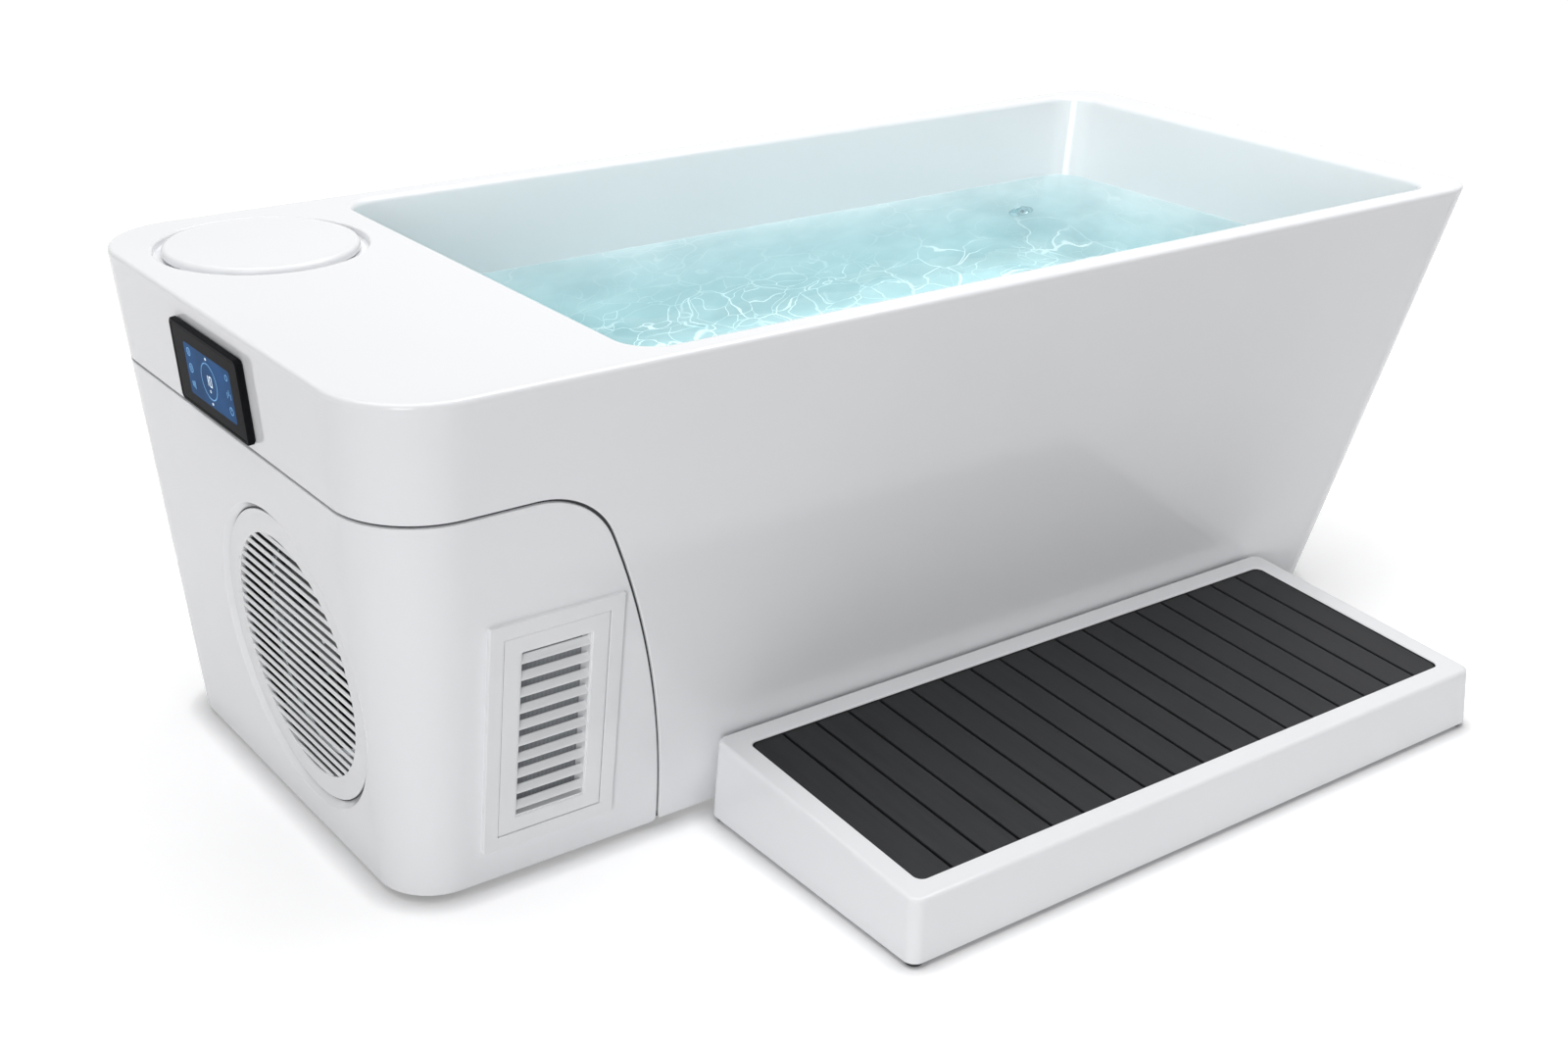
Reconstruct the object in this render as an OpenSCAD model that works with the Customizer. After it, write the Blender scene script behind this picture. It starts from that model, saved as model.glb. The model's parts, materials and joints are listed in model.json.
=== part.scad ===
// Cold plunge tub with a built-in chiller at one end and a loose slatted step in front.
// The modules draw in the tub's own frame: x from the rim at the chiller end, y from the front rim,
// z from the floor. placed() then moves everything so that the origin is the middle of the base.

/* [Tub] */
// Length over the rim
tub_l = 1934; // [1800:1:2100]
// Width over the rim
tub_w = 890; // [850:1:960]
// Height of the rim above the floor
tub_h = 700; // [680:1:740]
// Slope of the chiller end, in degrees
slope_left = 4.6; // [4:0.1:5.5]
// Slope of both long sides, in degrees
slope_side = 7.5; // [6.5:0.1:8]
// Slope of the foot end, in degrees
slope_right = 12; // [10:0.1:13]
// Corner radius of the rim at the chiller end
corner_left = 122; // [100:1:140]
// Corner radius of the rim at the foot end
corner_right = 71; // [60:1:90]
// Corner radius of the base at the chiller end
base_corner_left = 76; // [60:1:95]
// Corner radius of the base at the foot end
base_corner_right = 140; // [110:1:150]
// Thickness of the outer skirt
skirt_t = 5; // [4:0.5:7]
// Gap between the skirt and the floor
skirt_lift = 13; // [8:1:20]
// Thickness of the rim and the deck
rim_t = 10; // [8:0.5:14]
// Rounding of the rim's outer edge
rim_round = 7; // [4:0.5:8]

/* [Basin] */
// Length of the deck over the chiller
deck_l = 372; // [365:1:400]
// Width of the rim along the sides
rim_side = 40; // [36:1:50]
// Width of the rim at the foot end
rim_right = 74; // [60:1:90]
// Height of the basin's floor
floor_z = 130; // [122:1:150]
// Wall of the basin
basin_t = 5; // [4:0.5:6]
// Foam round the basin
foam_t = 20; // [12:1:22]
// Slope of the wall between basin and chiller, in degrees
basin_slope_left = 4.5; // [3:0.1:6]
// Corner radius of the opening
mouth_corner = 50; // [40:1:60]
// Corner radius at the basin's floor
floor_corner = 75; // [65:1:90]
// Rounding between floor and walls
floor_round = 40; // [25:1:50]

/* [Filter] */
// Diameter of the lid
lid_d = 265; // [255:1:275]
// Gap round the lid in its recess
lid_gap = 12; // [8:1:14]
// Lid centre from the chiller end
lid_x = 184; // [180:1:185]
// Lid centre from the back rim
lid_back = 190; // [186:1:196]
// Thickness of the lid
lid_t = 12; // [10:0.5:15]
// Height of the lid above the deck
lid_proud = 4.5; // [2:0.5:6]
// Thickness of the lid's seal
seal_t = 2.5; // [2:0.5:4]
// Outer diameter of the filter housing
housing_d = 212; // [200:1:214]
// Wall of the filter housing
housing_t = 6; // [4:0.5:8]
// Depth of the filter housing below the deck
housing_depth = 300; // [280:1:310]
// Diameter of the filter cartridge
cartridge_d = 140; // [120:1:160]
// Pleats of the filter cartridge
pleats = 36; // [24:1:48]

/* [Touch screen] */
// Width of the screen's frame
screen_w = 215; // [190:1:230]
// Height of the screen's frame
screen_h = 112; // [100:1:118]
// Depth of the screen's frame
screen_t = 9; // [7:0.5:12]
// Width of the frame's edge round the glass
screen_edge = 5; // [3:0.5:8]
// Depth of the screen's centre below the rim
screen_below = 84; // [80:1:88]
// Thickness of the screen's gasket
gasket_t = 1.5; // [1:0.5:2]
// Thickness of the screen's glass
glass_t = 2; // [1.5:0.5:3]

/* [Chiller cover] */
// Depth of the seam over the cover below the rim
seam_below = 154; // [150:1:162]
// Width of the seam
seam_gap = 4; // [3:0.5:6]
// Radius of the seam's shoulder
shoulder_r = 120; // [90:1:140]
// Radius of the seam's long flank
flank_r = 1200; // [1000:10:1600]
// Where the seam meets the floor, from the chiller end
seam_foot = 425; // [415:1:440]
// Gap between the cover and the floor
cover_lift = 10; // [8:1:15]
// Clearance between the cover and the lip behind it
lip_gap = 0.5; // [0.4:0.1:1]
// Width of the lip on each side of the seam
lip_w = 18; // [14:1:20]
// Thickness of the lip
lip_t = 4; // [3:0.5:5]

/* [Round grille] */
// Grille centre from the front rim
grille_y = 349; // [345:1:353]
// Height of the grille's centre
grille_z = 260; // [256:1:264]
// Diameter of the bevelled recess at the surface
recess_d = 416; // [410:1:420]
// Depth of the recess
recess_depth = 9; // [8:0.5:10]
// Diameter of the grille
grille_d = 398; // [392:1:400]
// Diameter of the louvred field
louvre_d = 332; // [320:1:340]
// Number of louvres
louvre_count = 22; // [16:1:26]
// Width of a louvre
louvre_w = 4.5; // [4:0.5:6]
// Thickness of a louvre
louvre_t = 2; // [1.6:0.2:2.4]

/* [Side vent] */
// Vent centre from the chiller end
vent_x = 251; // [248:1:256]
// Height of the vent's centre
vent_z = 227; // [222:1:235]
// Width of the vent's flange
vent_w = 190; // [180:1:196]
// Height of the vent's flange
vent_h = 338; // [325:1:345]
// Height of the flange above the cover
vent_proud = 7; // [5:0.5:9]
// Width of the louvre core
core_w = 148; // [140:1:152]
// Height of the louvre core
core_h = 294; // [280:1:300]
// Gap round the louvre core
core_gap = 1; // [0.8:0.1:1.5]
// Depth of the louvre core
core_t = 22; // [18:1:26]
// Width of the slotted field
field_w = 97; // [85:1:105]
// Height of the slotted field
field_h = 244; // [225:1:255]
// Number of slots
slot_count = 10; // [7:1:12]
// Width of a vent blade
blade_w = 13; // [10:0.5:14]
// Thickness of a vent blade
blade_t = 3; // [2:0.5:4]
// Depth of the core's face below the flange
core_drop = 1; // [0.5:0.5:2]
// Diameter of the core's hinge pins
hinge_d = 4; // [3:0.5:5]

/* [Fan] */
// Fan centre from the front rim
fan_y = 335; // [330:1:340]
// Height of the fan's centre
fan_z = 278; // [275:1:281]
// Diameter of the fan
fan_d = 276; // [250:1:280]
// Number of fan blades
fan_blades = 5; // [3:1:7]
// Diameter of the fan's hub
hub_d = 90; // [70:1:96]
// Diameter of the fan's shaft
shaft_d = 8; // [6:1:10]
// Running clearance round shafts and pins
run_gap = 0.05; // [0.02:0.01:0.1]
// Diameter of the fan motor
motor_d = 92; // [80:1:100]
// Bulkhead from the chiller end
bulkhead_x = 102; // [100:1:106]

/* [Chiller] */
// Thickness of sheet metal
sheet_t = 3; // [2:0.5:4]
// Diameter of the compressor
compressor_d = 136; // [120:1:140]
// Height of the compressor
compressor_h = 255; // [220:1:260]
// Diameter of the heat exchanger
exchanger_d = 96; // [80:1:100]
// Height of the heat exchanger's axis
exchanger_z = 440; // [436:1:446]
// Thickness of the condenser
condenser_t = 50; // [40:1:54]
// Number of condenser fins
fin_count = 24; // [16:1:32]
// Diameter of the pump's motor
pump_d = 110; // [90:1:116]
// Height of the pump's axis above the tray
pump_rise = 75; // [72:1:80]

/* [Plumbing] */
// Outer diameter of the rigid water pipes
pipe_d = 40; // [32:1:40]
// Outer diameter of the return hose
hose_d = 22; // [18:1:24]
// Outer diameter of the copper lines
copper_d = 10; // [8:1:10]
// Outer diameter of the drain spigot
spigot_d = 26.4; // [24:0.1:27]
// Length of the drain spigot beyond the skirt
spigot_l = 32; // [28:1:40]
// Drain beyond the third bearer of the frame
drain_past = 61; // [56:1:110]
// Lift of the drain plug
plug_lift = 10; // [6:1:12]
// Return jet from the foot end
jet_from_foot = 239; // [236:1:260]
// Height of the return jet
jet_z = 375; // [360:1:390]
// Diameter of the return jet's flange
jet_d = 60; // [50:1:70]

/* [Base] */
// Height of the frame's underside
frame_z = 32; // [28:1:40]
// Size of the frame's square tube
tube_s = 30; // [25:1:32]
// Distance of the frame inside the skirt's base
frame_inset = 42; // [38:1:50]
// Distance of the frame inside the skirt's base at the foot end
frame_inset_foot = 100; // [90:1:120]
// Diameter of a levelling foot
foot_d = 56; // [40:1:60]

/* [Step] */
// Length of the step at its base
step_l = 1080; // [1000:1:1150]
// Step from the chiller end
step_x = 497; // [480:1:520]
// How far the step reaches in front of the rim
step_reach = 359; // [340:1:380]
// Height of the step's front edge
step_front_h = 93; // [85:1:100]
// Height of the step's rear edge
step_rear_h = 123; // [115:1:130]
// Gap between the step and the tub
step_gap = 3; // [2:0.5:8]
// Width of the rim round the slats
step_rim = 40; // [32:1:48]
// Wall of the step
step_t = 6; // [5:0.5:8]
// Height of the step's feet
step_foot_h = 6; // [4:1:8]
// Number of slats
slat_count = 18; // [14:1:18]
// Gap between slats
slat_gap = 4; // [3:0.5:6]
// Thickness of a slat
slat_t = 14; // [12:1:16]
// Depth of the slats below the step's rim
slat_drop = 3; // [2:0.5:5]
// Height of the ribs under the slats
rib_h = 12; // [10:1:14]

/* [Hidden] */
function slat_name(i) = str("step_slat_", i < 10 ? "0" : "", i);

$fn = 64;
loft_fn = 32;
sliver = 0.01;
fit_gap = 0.3;
foam_cut = 8;
bond_t = 0.1;
past = 1;
far = 200;
white = "#f4f5f6";
dark = "#3c3d3e";
steel = "#b9bdc1";
copper = "#b8734a";

// The tub's walls at height z
function fall(z) = tub_h - z;
function left_at(z) = fall(z) * tan(slope_left);
function right_at(z) = tub_l - fall(z) * tan(slope_right);
function front_at(z) = fall(z) * tan(slope_side);
function back_at(z) = tub_w - front_at(z);
function blended(top, base, z) = top + (base - top) * fall(z) / (tub_h - skirt_lift);

// The basin's walls at height z
function mouth_at(z) = deck_l + fall(z) * tan(basin_slope_left);
function far_at(z) = tub_w - rim_side - front_at(z);
function bay_at(z) = mouth_at(z) - basin_t - foam_t;

// A level is a height, the outline's two corners and its corner radii at the two ends
function skirt_level(z, inset) = [
    z, left_at(z) + inset, front_at(z) + inset, right_at(z) - inset, back_at(z) - inset,
    blended(corner_left, base_corner_left, z) - inset,
    blended(corner_right, base_corner_right, z) - inset
];
function basin_corner(z) = mouth_corner + (floor_corner - mouth_corner) * fall(z) / (tub_h - floor_z);
function basin_level(z, grow) = [
    z, mouth_at(z) - grow, rim_side + front_at(z) - grow,
    right_at(z) - rim_right + grow, far_at(z) + grow,
    basin_corner(z) + grow, basin_corner(z) + grow
];
// The basin's floor rounds up into the walls over three levels
floor_steps = [0, 30, 60, 90];
function basin_levels(top, grow) = concat(
    [
        for (a = floor_steps)
            basin_level(floor_z - grow + floor_round * (1 - cos(a)), grow - floor_round * (1 - sin(a)))
    ],
    [basin_level(top, grow)]
);

// Heights that hang from the rim
screen_z = tub_h - screen_below;
seam_z = tub_h - seam_below;

// The seam's flank is an arc that stands upright on the floor, its shoulder a smaller one inside it
flank_c = [seam_foot - flank_r, 0];
shoulder_z = seam_z - shoulder_r;
shoulder_c = [flank_c[0] + sqrt(pow(flank_r - shoulder_r, 2) - pow(shoulder_z, 2)), shoulder_z];
shoulder_a = atan2(shoulder_z, shoulder_c[0] - flank_c[0]);
arc_steps = 8;
function on_circle(r, a) = r * [cos(a), sin(a)];
function arc(c, r, from, to) =
    [for (i = [0 : arc_steps]) c + on_circle(r, from + (to - from) * i / arc_steps)];
function seam_points(grow) = concat(
    [[-far, -far], [seam_foot + grow, -far]],
    arc(flank_c, flank_r + grow, 0, shoulder_a),
    [for (i = [1 : arc_steps]) arc(shoulder_c, shoulder_r + grow, shoulder_a, 90)[i]],
    [[-far, seam_z + grow]]
);

// Corners of a rectangle with rounded corners, centred on the origin
corner_steps = 6;
function corner_arc(x, y, r, from) =
    [for (i = [0 : corner_steps]) [x, y] + on_circle(r, from + 90 * i / corner_steps)];
function rounded(w, h, r) = concat(
    corner_arc(w / 2 - r, h / 2 - r, r, 0), corner_arc(r - w / 2, h / 2 - r, r, 90),
    corner_arc(r - w / 2, r - h / 2, r, 180), corner_arc(w / 2 - r, r - h / 2, r, 270)
);

// Heights and places that several pieces share
frame_top = frame_z + tube_s;
foam_z = floor_z - basin_t - foam_t;
tray_top = frame_top + sheet_t;
tub_mid = tub_w / 2;
frame_x0 = left_at(skirt_lift) + frame_inset;
frame_x1 = right_at(skirt_lift) - frame_inset_foot;
frame_y0 = front_at(skirt_lift) + frame_inset;
frame_y1 = tub_w - frame_y0;
bearer_count = 6;
bearer_x0 = mouth_at(floor_z) + 130;
bearer_pitch = (frame_x1 - bearer_x0 - 160) / (bearer_count - 1);
drain_x = bearer_x0 + 2 * bearer_pitch + drain_past;
recess_r = lid_d / 2 + lid_gap;
lid_y = tub_w - lid_back;
ledge_z = tub_h + lid_proud - lid_t - seal_t;
boss_t = 14;
boss_z = ledge_z - boss_t;
housing_z = tub_h - housing_depth;
well_clear = 2;
stud_d = 10;
stud_l = 34;
stud_head = 16;
stud_rows = [95, seam_z - 51];
stud_cols = [fan_y - 170, fan_y + 190];
bulkhead_w0 = fan_y - 195;
bulkhead_w1 = fan_y + 215;
bulkhead_top = seam_z - 26;
duct_r = fan_d / 2 + 5;
fan_x = bulkhead_x - 26;
fan_w = 24;
motor_x = bulkhead_x + sheet_t + 14;
motor_l = 58;
condenser_x = motor_x + motor_l + 16;
condenser_y = [fan_y - 150, fan_y + 150];
condenser_top = exchanger_z - 4;
compressor_x = bay_at(tray_top + compressor_h) - compressor_d / 2 - 12;
compressor_y = condenser_y[1] + 80;
grommet_h = 12;
compressor_top = tray_top + grommet_h + compressor_h;
exchanger_x = bay_at(exchanger_z) - exchanger_d / 2 - 6;
exchanger_y = [condenser_y[0] + 45, compressor_y + 5];
port_l = 14;
suction_z = exchanger_z + 80;
pump_z = tray_top + pump_rise;
pump_x = lid_x - 20;
volute_w = 50;
pump_l = 140;
discharge_y = lid_y + 48;
discharge_z = pump_z + 85;
spigot_z = frame_top + spigot_d / 2 + 4;
jet_x = tub_l - jet_from_foot;
pipe_wall = 3;
screen_pitch = screen_z + screen_h / 2;

// The step's top slopes down to its front edge
step_rear = front_at(step_rear_h) - step_gap;
step_depth = step_rear + step_reach;
step_slope = atan((step_rear_h - step_front_h) / step_depth);
slat_run = step_l - 2 * step_rim;
slat_pitch = (slat_run + slat_gap) / slat_count;
slat_depth = (step_depth - 2 * step_rim) / cos(step_slope);
slat_corner = 12;
slat_side_gap = 1.5;

// The frame of the screen stands out past the rim and moves the middle of the box
screen_reach = (gasket_t + screen_t) / cos(slope_left) - left_at(screen_pitch);
edge_z = tub_h - rim_round;
origin = [(right_at(edge_z) - max(screen_reach, 0)) / 2, (back_at(edge_z) - step_reach) / 2, 0];
module placed() translate(-origin) children();

// Frames that lie on the walls, with z pointing out of the wall
module on_left(y, z) translate([left_at(z), y, z]) rotate([90 + slope_left, 0, -90]) children();
module on_front(x, z) translate([x, front_at(z), z]) rotate([90 + slope_side, 0, 0]) children();
module on_back(x, z) translate([x, back_at(z), z]) rotate([-90 - slope_side, 0, 0]) children();
module on_far_wall(x, z) translate([x, far_at(z), z]) rotate([90 - slope_side, 0, 0]) children();
module on_deck_wall(y, z) translate([mouth_at(z), y, z]) rotate([0, 90 - basin_slope_left, 0]) children();
step_centre = [step_x + step_l / 2, step_rear - step_depth / 2, (step_front_h + step_rear_h) / 2];
module on_step() translate(step_centre) rotate([step_slope, 0, 0]) children();

// Solids that repeat
module level(s) {
    for (y = [s[2] + s[5], s[4] - s[5]]) translate([s[1] + s[5], y, s[0] - sliver])
        cylinder(r = s[5], h = sliver, $fn = loft_fn);
    for (y = [s[2] + s[6], s[4] - s[6]]) translate([s[3] - s[6], y, s[0] - sliver])
        cylinder(r = s[6], h = sliver, $fn = loft_fn);
}
module loft(levels) hull() for (s = levels) level(s);
module skirt_loft(from, to, inset) loft([skirt_level(from, inset), skirt_level(to, inset)]);
module basin_loft(top, grow) loft(basin_levels(top, grow));
module seam_solid(grow) translate([0, tub_w + far, 0]) rotate([90, 0, 0])
    linear_extrude(tub_w + 2 * far) polygon(seam_points(grow));
module plate(w, h, r, from, to) translate([0, 0, from])
    linear_extrude(to - from) polygon(rounded(w, h, r));
module turned(points) rotate_extrude() polygon(points);
module tube(r_out, r_in, h) difference() {
    cylinder(r = r_out, h = h);
    translate([0, 0, -past]) cylinder(r = r_in, h = h + 2 * past);
}
module box(x, y, z) translate([x[0], y[0], z[0]]) cube([x[1] - x[0], y[1] - y[0], z[1] - z[0]]);

// A round bar or pipe along a route of points, with a torus bend of radius r at each corner
function unit(v) = v / norm(v);
function heading(p, i) = unit(p[i + 1] - p[i]);
function turn(p, i) = acos(heading(p, i - 1) * heading(p, i));
function cut_back(p, i, r) = i == 0 || i == len(p) - 1 ? 0 : r * tan(turn(p, i) / 2);
function across(x, y, z, at) = [for (i = [0 : 2]) [x[i], y[i], z[i], at[i]]];
module aimed(at, z) let (x = unit(cross(abs(z[2]) > 0.9 ? [1, 0, 0] : [0, 0, 1], z)), y = cross(z, x))
    multmatrix(across(x, y, z, at)) children();
module bend(p, i, r, d) let (
    a = heading(p, i - 1), b = heading(p, i), n = unit(b - a * (a * b)), z = cross(-n, a),
    c = p[i] - a * cut_back(p, i, r) + n * r
) multmatrix(across(-n, a, z, c))
    rotate_extrude(angle = turn(p, i)) translate([r, 0]) circle(d = d);
module route(p, r, d) {
    for (i = [0 : len(p) - 2])
        let (a = heading(p, i), s = cut_back(p, i, r), e = cut_back(p, i + 1, r))
        aimed(p[i] + a * s, a) cylinder(d = d, h = norm(p[i + 1] - p[i]) - s - e);
    for (i = [1 : len(p) - 2]) bend(p, i, r, d);
}

// Routes of the pipes, from port to port
filter_turn_z = housing_z - 90;
filter_drop_x = lid_x - 80;
filter_route = [
    [lid_x, lid_y, housing_z - 28],
    [lid_x, lid_y, filter_turn_z],
    [filter_drop_x, lid_y, filter_turn_z],
    [filter_drop_x, lid_y, pump_z],
    [pump_x - 15, lid_y, pump_z]
];
pressure_z = housing_z - 76;
pressure_route = [
    [pump_x + 25, discharge_y, discharge_z],
    [pump_x + 25, discharge_y, pressure_z],
    [exchanger_x, discharge_y, pressure_z],
    [exchanger_x, discharge_y, exchanger_z],
    [exchanger_x, exchanger_y[1] + port_l, exchanger_z]
];
hose_y = far_at(foam_z) + basin_t + hose_d / 2 + 1;
hose_z = frame_top + hose_d / 2 + 8;
hose_end_z = jet_z - 30;
hose_lean = front_at(foam_z) - front_at(hose_end_z);
hose_front_y = condenser_y[0] - 30;
hose_run_y = tub_mid - 70;
hose_in_x = mouth_at(floor_z) + 50;
return_route = [
    [exchanger_x, exchanger_y[0] - port_l, exchanger_z],
    [exchanger_x, hose_front_y, exchanger_z],
    [exchanger_x, hose_front_y, hose_z],
    [hose_in_x, hose_front_y, hose_z],
    [hose_in_x, hose_run_y, hose_z],
    [jet_x, hose_run_y, hose_z],
    [jet_x, hose_y, hose_z],
    [jet_x, hose_y + hose_lean, hose_end_z]
];
drain_route = [
    [drain_x, tub_mid, foam_z - 2],
    [drain_x, tub_mid, spigot_z],
    [drain_x, back_at(spigot_z) + spigot_l, spigot_z]
];
discharge_from = [compressor_x - 20, compressor_y + 20];
discharge_top = compressor_top + 45;
condenser_mid = condenser_x + condenser_t / 2;
discharge_line = [
    [discharge_from[0], discharge_from[1], compressor_top],
    [discharge_from[0], discharge_from[1], discharge_top],
    [condenser_mid, discharge_from[1], discharge_top],
    [condenser_mid, condenser_y[1], discharge_top]
];
liquid_x = condenser_x + 12;
liquid_y = condenser_y[1] + 20;
liquid_z = tray_top + 45;
liquid_line = [
    [liquid_x, condenser_y[1], liquid_z],
    [liquid_x, liquid_y, liquid_z],
    [liquid_x, liquid_y, exchanger_z],
    [exchanger_x - exchanger_d / 2, liquid_y, exchanger_z]
];
vapour_line = [
    [exchanger_x, compressor_y - 25, compressor_top],
    [exchanger_x, compressor_y - 25, exchanger_z - exchanger_d / 2]
];
elbow_r = 34;
hose_bend = 30;
copper_bend = 14;
drain_bend = 18;
collar_l = 8;
collar_seat = (spigot_d / 2 + 5) * tan(slope_side);

// Tub

module basin_liner() color(white) placed() difference() {
    union() {
        loft(concat(
            [skirt_level(tub_h - rim_t + sliver, 0)],
            [for (a = floor_steps) skirt_level(tub_h - rim_round * (1 - sin(a)), rim_round * (1 - cos(a)))]
        ));
        basin_loft(tub_h - rim_t / 2, basin_t);
        translate([lid_x, lid_y, boss_z]) cylinder(r = recess_r + 8, h = tub_h - rim_t / 2 - boss_z);
    }
    basin_loft(tub_h + past, 0);
    translate([lid_x, lid_y, ledge_z]) cylinder(r = recess_r, h = far);
    translate([lid_x, lid_y, boss_z - past]) cylinder(r = housing_d / 2 + well_clear, h = far);
    translate([drain_x, tub_mid, foam_z]) cylinder(r = drain_tail_r + fit_gap, h = far);
    on_far_wall(jet_x, jet_z) translate([0, 0, -far / 4]) cylinder(r = jet_tail_r + fit_gap, h = far);
    on_deck_wall(lid_y, suction_z) translate([0, 0, -far / 4]) cylinder(r = pipe_d / 2 + fit_gap, h = far);
}

module outer_skirt() color(white) placed() {
    top = tub_h - rim_t;
    difference() {
        skirt_loft(skirt_lift, top, 0);
        skirt_loft(skirt_lift - past, top + past, skirt_t);
        seam_solid(seam_gap / 2);
        on_left(tub_mid, screen_z) plate(can_w + 2, can_h + 2, 4, -far / 4, far / 4);
        translate([drain_x, tub_mid, spigot_z]) rotate([-90, 0, 0]) cylinder(d = spigot_d + 2, h = tub_w);
        on_back(gland_x, spigot_z) translate([0, 0, -far / 4]) cylinder(r = gland_r + fit_gap, h = far);
    }
    intersection() {
        difference() {
            skirt_loft(skirt_lift, top, skirt_t);
            skirt_loft(skirt_lift - past, top + past, skirt_t + lip_t);
        }
        difference() {
            seam_solid(lip_w);
            seam_solid(-lip_w);
        }
    }
}

module basin_insulation() color("#e9dfb8") placed() difference() {
    basin_loft(tub_h - rim_t, basin_t + foam_t);
    basin_loft(tub_h, basin_t + bond_t);
    translate([drain_x, tub_mid, foam_z - past]) cylinder(r = drain_tail_r + 2 * foam_cut, h = far);
    on_deck_wall(lid_y, suction_z) translate([0, 0, -far / 4]) cylinder(r = pipe_d / 2 + foam_cut, h = far);
    on_far_wall(jet_x, jet_z) translate([0, 0, -far / 4]) cylinder(d = jet_d + 2 * foam_cut, h = far / 4);
    route([for (i = [5 : 7]) return_route[i]], hose_bend, hose_d + foam_cut);
}

pad_l = 100;
pad_reach = tub_w / 4;
pad_y = [tub_mid - pad_reach, tub_mid + pad_reach - pad_l];
module base_frame() color("#55595d") placed() {
    difference() {
        box([frame_x0, frame_x1], [frame_y0, frame_y1], [frame_z, frame_top]);
        box([frame_x0 + tube_s, frame_x1 - tube_s], [frame_y0 + tube_s, frame_y1 - tube_s], [0, far]);
    }
    for (i = [0 : bearer_count - 1], x = [bearer_x0 + i * bearer_pitch]) {
        box([x, x + tube_s], [frame_y0 + tube_s, frame_y1 - tube_s], [frame_z, frame_top]);
        for (y = pad_y) box([x, x + tube_s], [y, y + pad_l], [frame_top, foam_z - sliver]);
    }
    for (x = [frame_x0 + 3 * tube_s, bay_at(floor_z) - 2 * tube_s])
        box([x, x + tube_s], [frame_y0 + tube_s, frame_y1 - tube_s], [frame_z, frame_top]);
}

pad_h = 10;
foot_inset = 26;
foot_stud_r = 6;
module levelling_feet() color(dark) placed()
    for (x = [frame_x0 + foot_inset, (frame_x0 + frame_x1) / 2, frame_x1 - foot_inset],
         y = [frame_y0 + tube_s / 2, frame_y1 - tube_s / 2])
        translate([x, y, 0]) turned([
            [0, 0], [foot_d / 2 - 2, 0], [foot_d / 2, 2], [foot_d / 2, pad_h / 2], [foot_d / 4, pad_h],
            [foot_stud_r, pad_h], [foot_stud_r, frame_z], [0, frame_z]
        ]);

// Filter under the lid

spigot_r = pipe_d / 2 + 2;
module filter_housing() color("#d9dcdf") placed() translate([lid_x, lid_y, 0]) {
    r = housing_d / 2;
    stand_r = 20;
    difference() {
        union() {
            turned([
                [spigot_r - 5, housing_z - 28], [spigot_r, housing_z - 28], [spigot_r, housing_z],
                [r, housing_z], [r, boss_z - 8], [r + 24, boss_z - 8], [r + 24, boss_z], [r, boss_z],
                [r, ledge_z - 2], [r - housing_t, ledge_z - 2], [r - housing_t, housing_z + 8],
                [stand_r, housing_z + 8], [stand_r, housing_z + 28], [spigot_r - 5, housing_z + 28]
            ]);
            translate([r - housing_t, 0, suction_z]) rotate([0, 90, 0])
                cylinder(r = spigot_r, h = suction_x - lid_x - r + housing_t);
        }
        translate([r - 2 * housing_t, 0, suction_z]) rotate([0, 90, 0])
            cylinder(d = pipe_d - 2 * pipe_wall, h = far);
    }
}

cartridge_z = housing_z + 10;
cartridge_l = 230;
cap_t = 12;
module filter_cartridge() color("#f2f4f6") placed() translate([lid_x, lid_y, cartridge_z]) {
    r = cartridge_d / 2;
    bore_r = 21;
    pleat = 9;
    for (z = [0, cartridge_l - cap_t]) translate([0, 0, z]) tube(r, bore_r, cap_t);
    translate([0, 0, cap_t]) linear_extrude(cartridge_l - 2 * cap_t) difference() {
        polygon([for (i = [0 : 2 * pleats - 1]) on_circle(r - 2 - pleat * (i % 2), 180 * i / pleats)]);
        circle(r = bore_r);
    }
    translate([0, 0, cartridge_l]) difference() {
        box([-bore_r - 12, bore_r + 12], [-6, 6], [0, 24]);
        box([-bore_r - 4, bore_r + 4], [-far, far], [-past, 14]);
    }
}

lid_round = 4;
function lid_edge(r, z) =
    [for (a = [0 : 15 : 90]) [r - lid_round, z - lid_round] + on_circle(lid_round, a)];
module filter_lid() color(white) placed() translate([lid_x, lid_y, ledge_z + seal_t]) {
    skirt_r = housing_d / 2 - housing_t - 3;
    skirt_h = 12;
    turned(concat(
        [[0, lid_t - 5], [skirt_r - 4, lid_t - 5], [skirt_r - 4, -skirt_h]],
        [[skirt_r, -skirt_h], [skirt_r, 0]],
        [[lid_d / 2 - 2, 0], [lid_d / 2, 2]], lid_edge(lid_d / 2, lid_t), [[0, lid_t]]
    ));
    for (a = [0 : 60 : 300]) rotate(a) box([20, skirt_r - 2], [-1.5, 1.5], [lid_t - 9, lid_t - 4]);
}

module lid_seal() color(dark) placed() translate([lid_x, lid_y, ledge_z])
    tube(lid_d / 2 - 6, lid_d / 2 - 14, seal_t);

// Touch screen and controls

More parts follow.
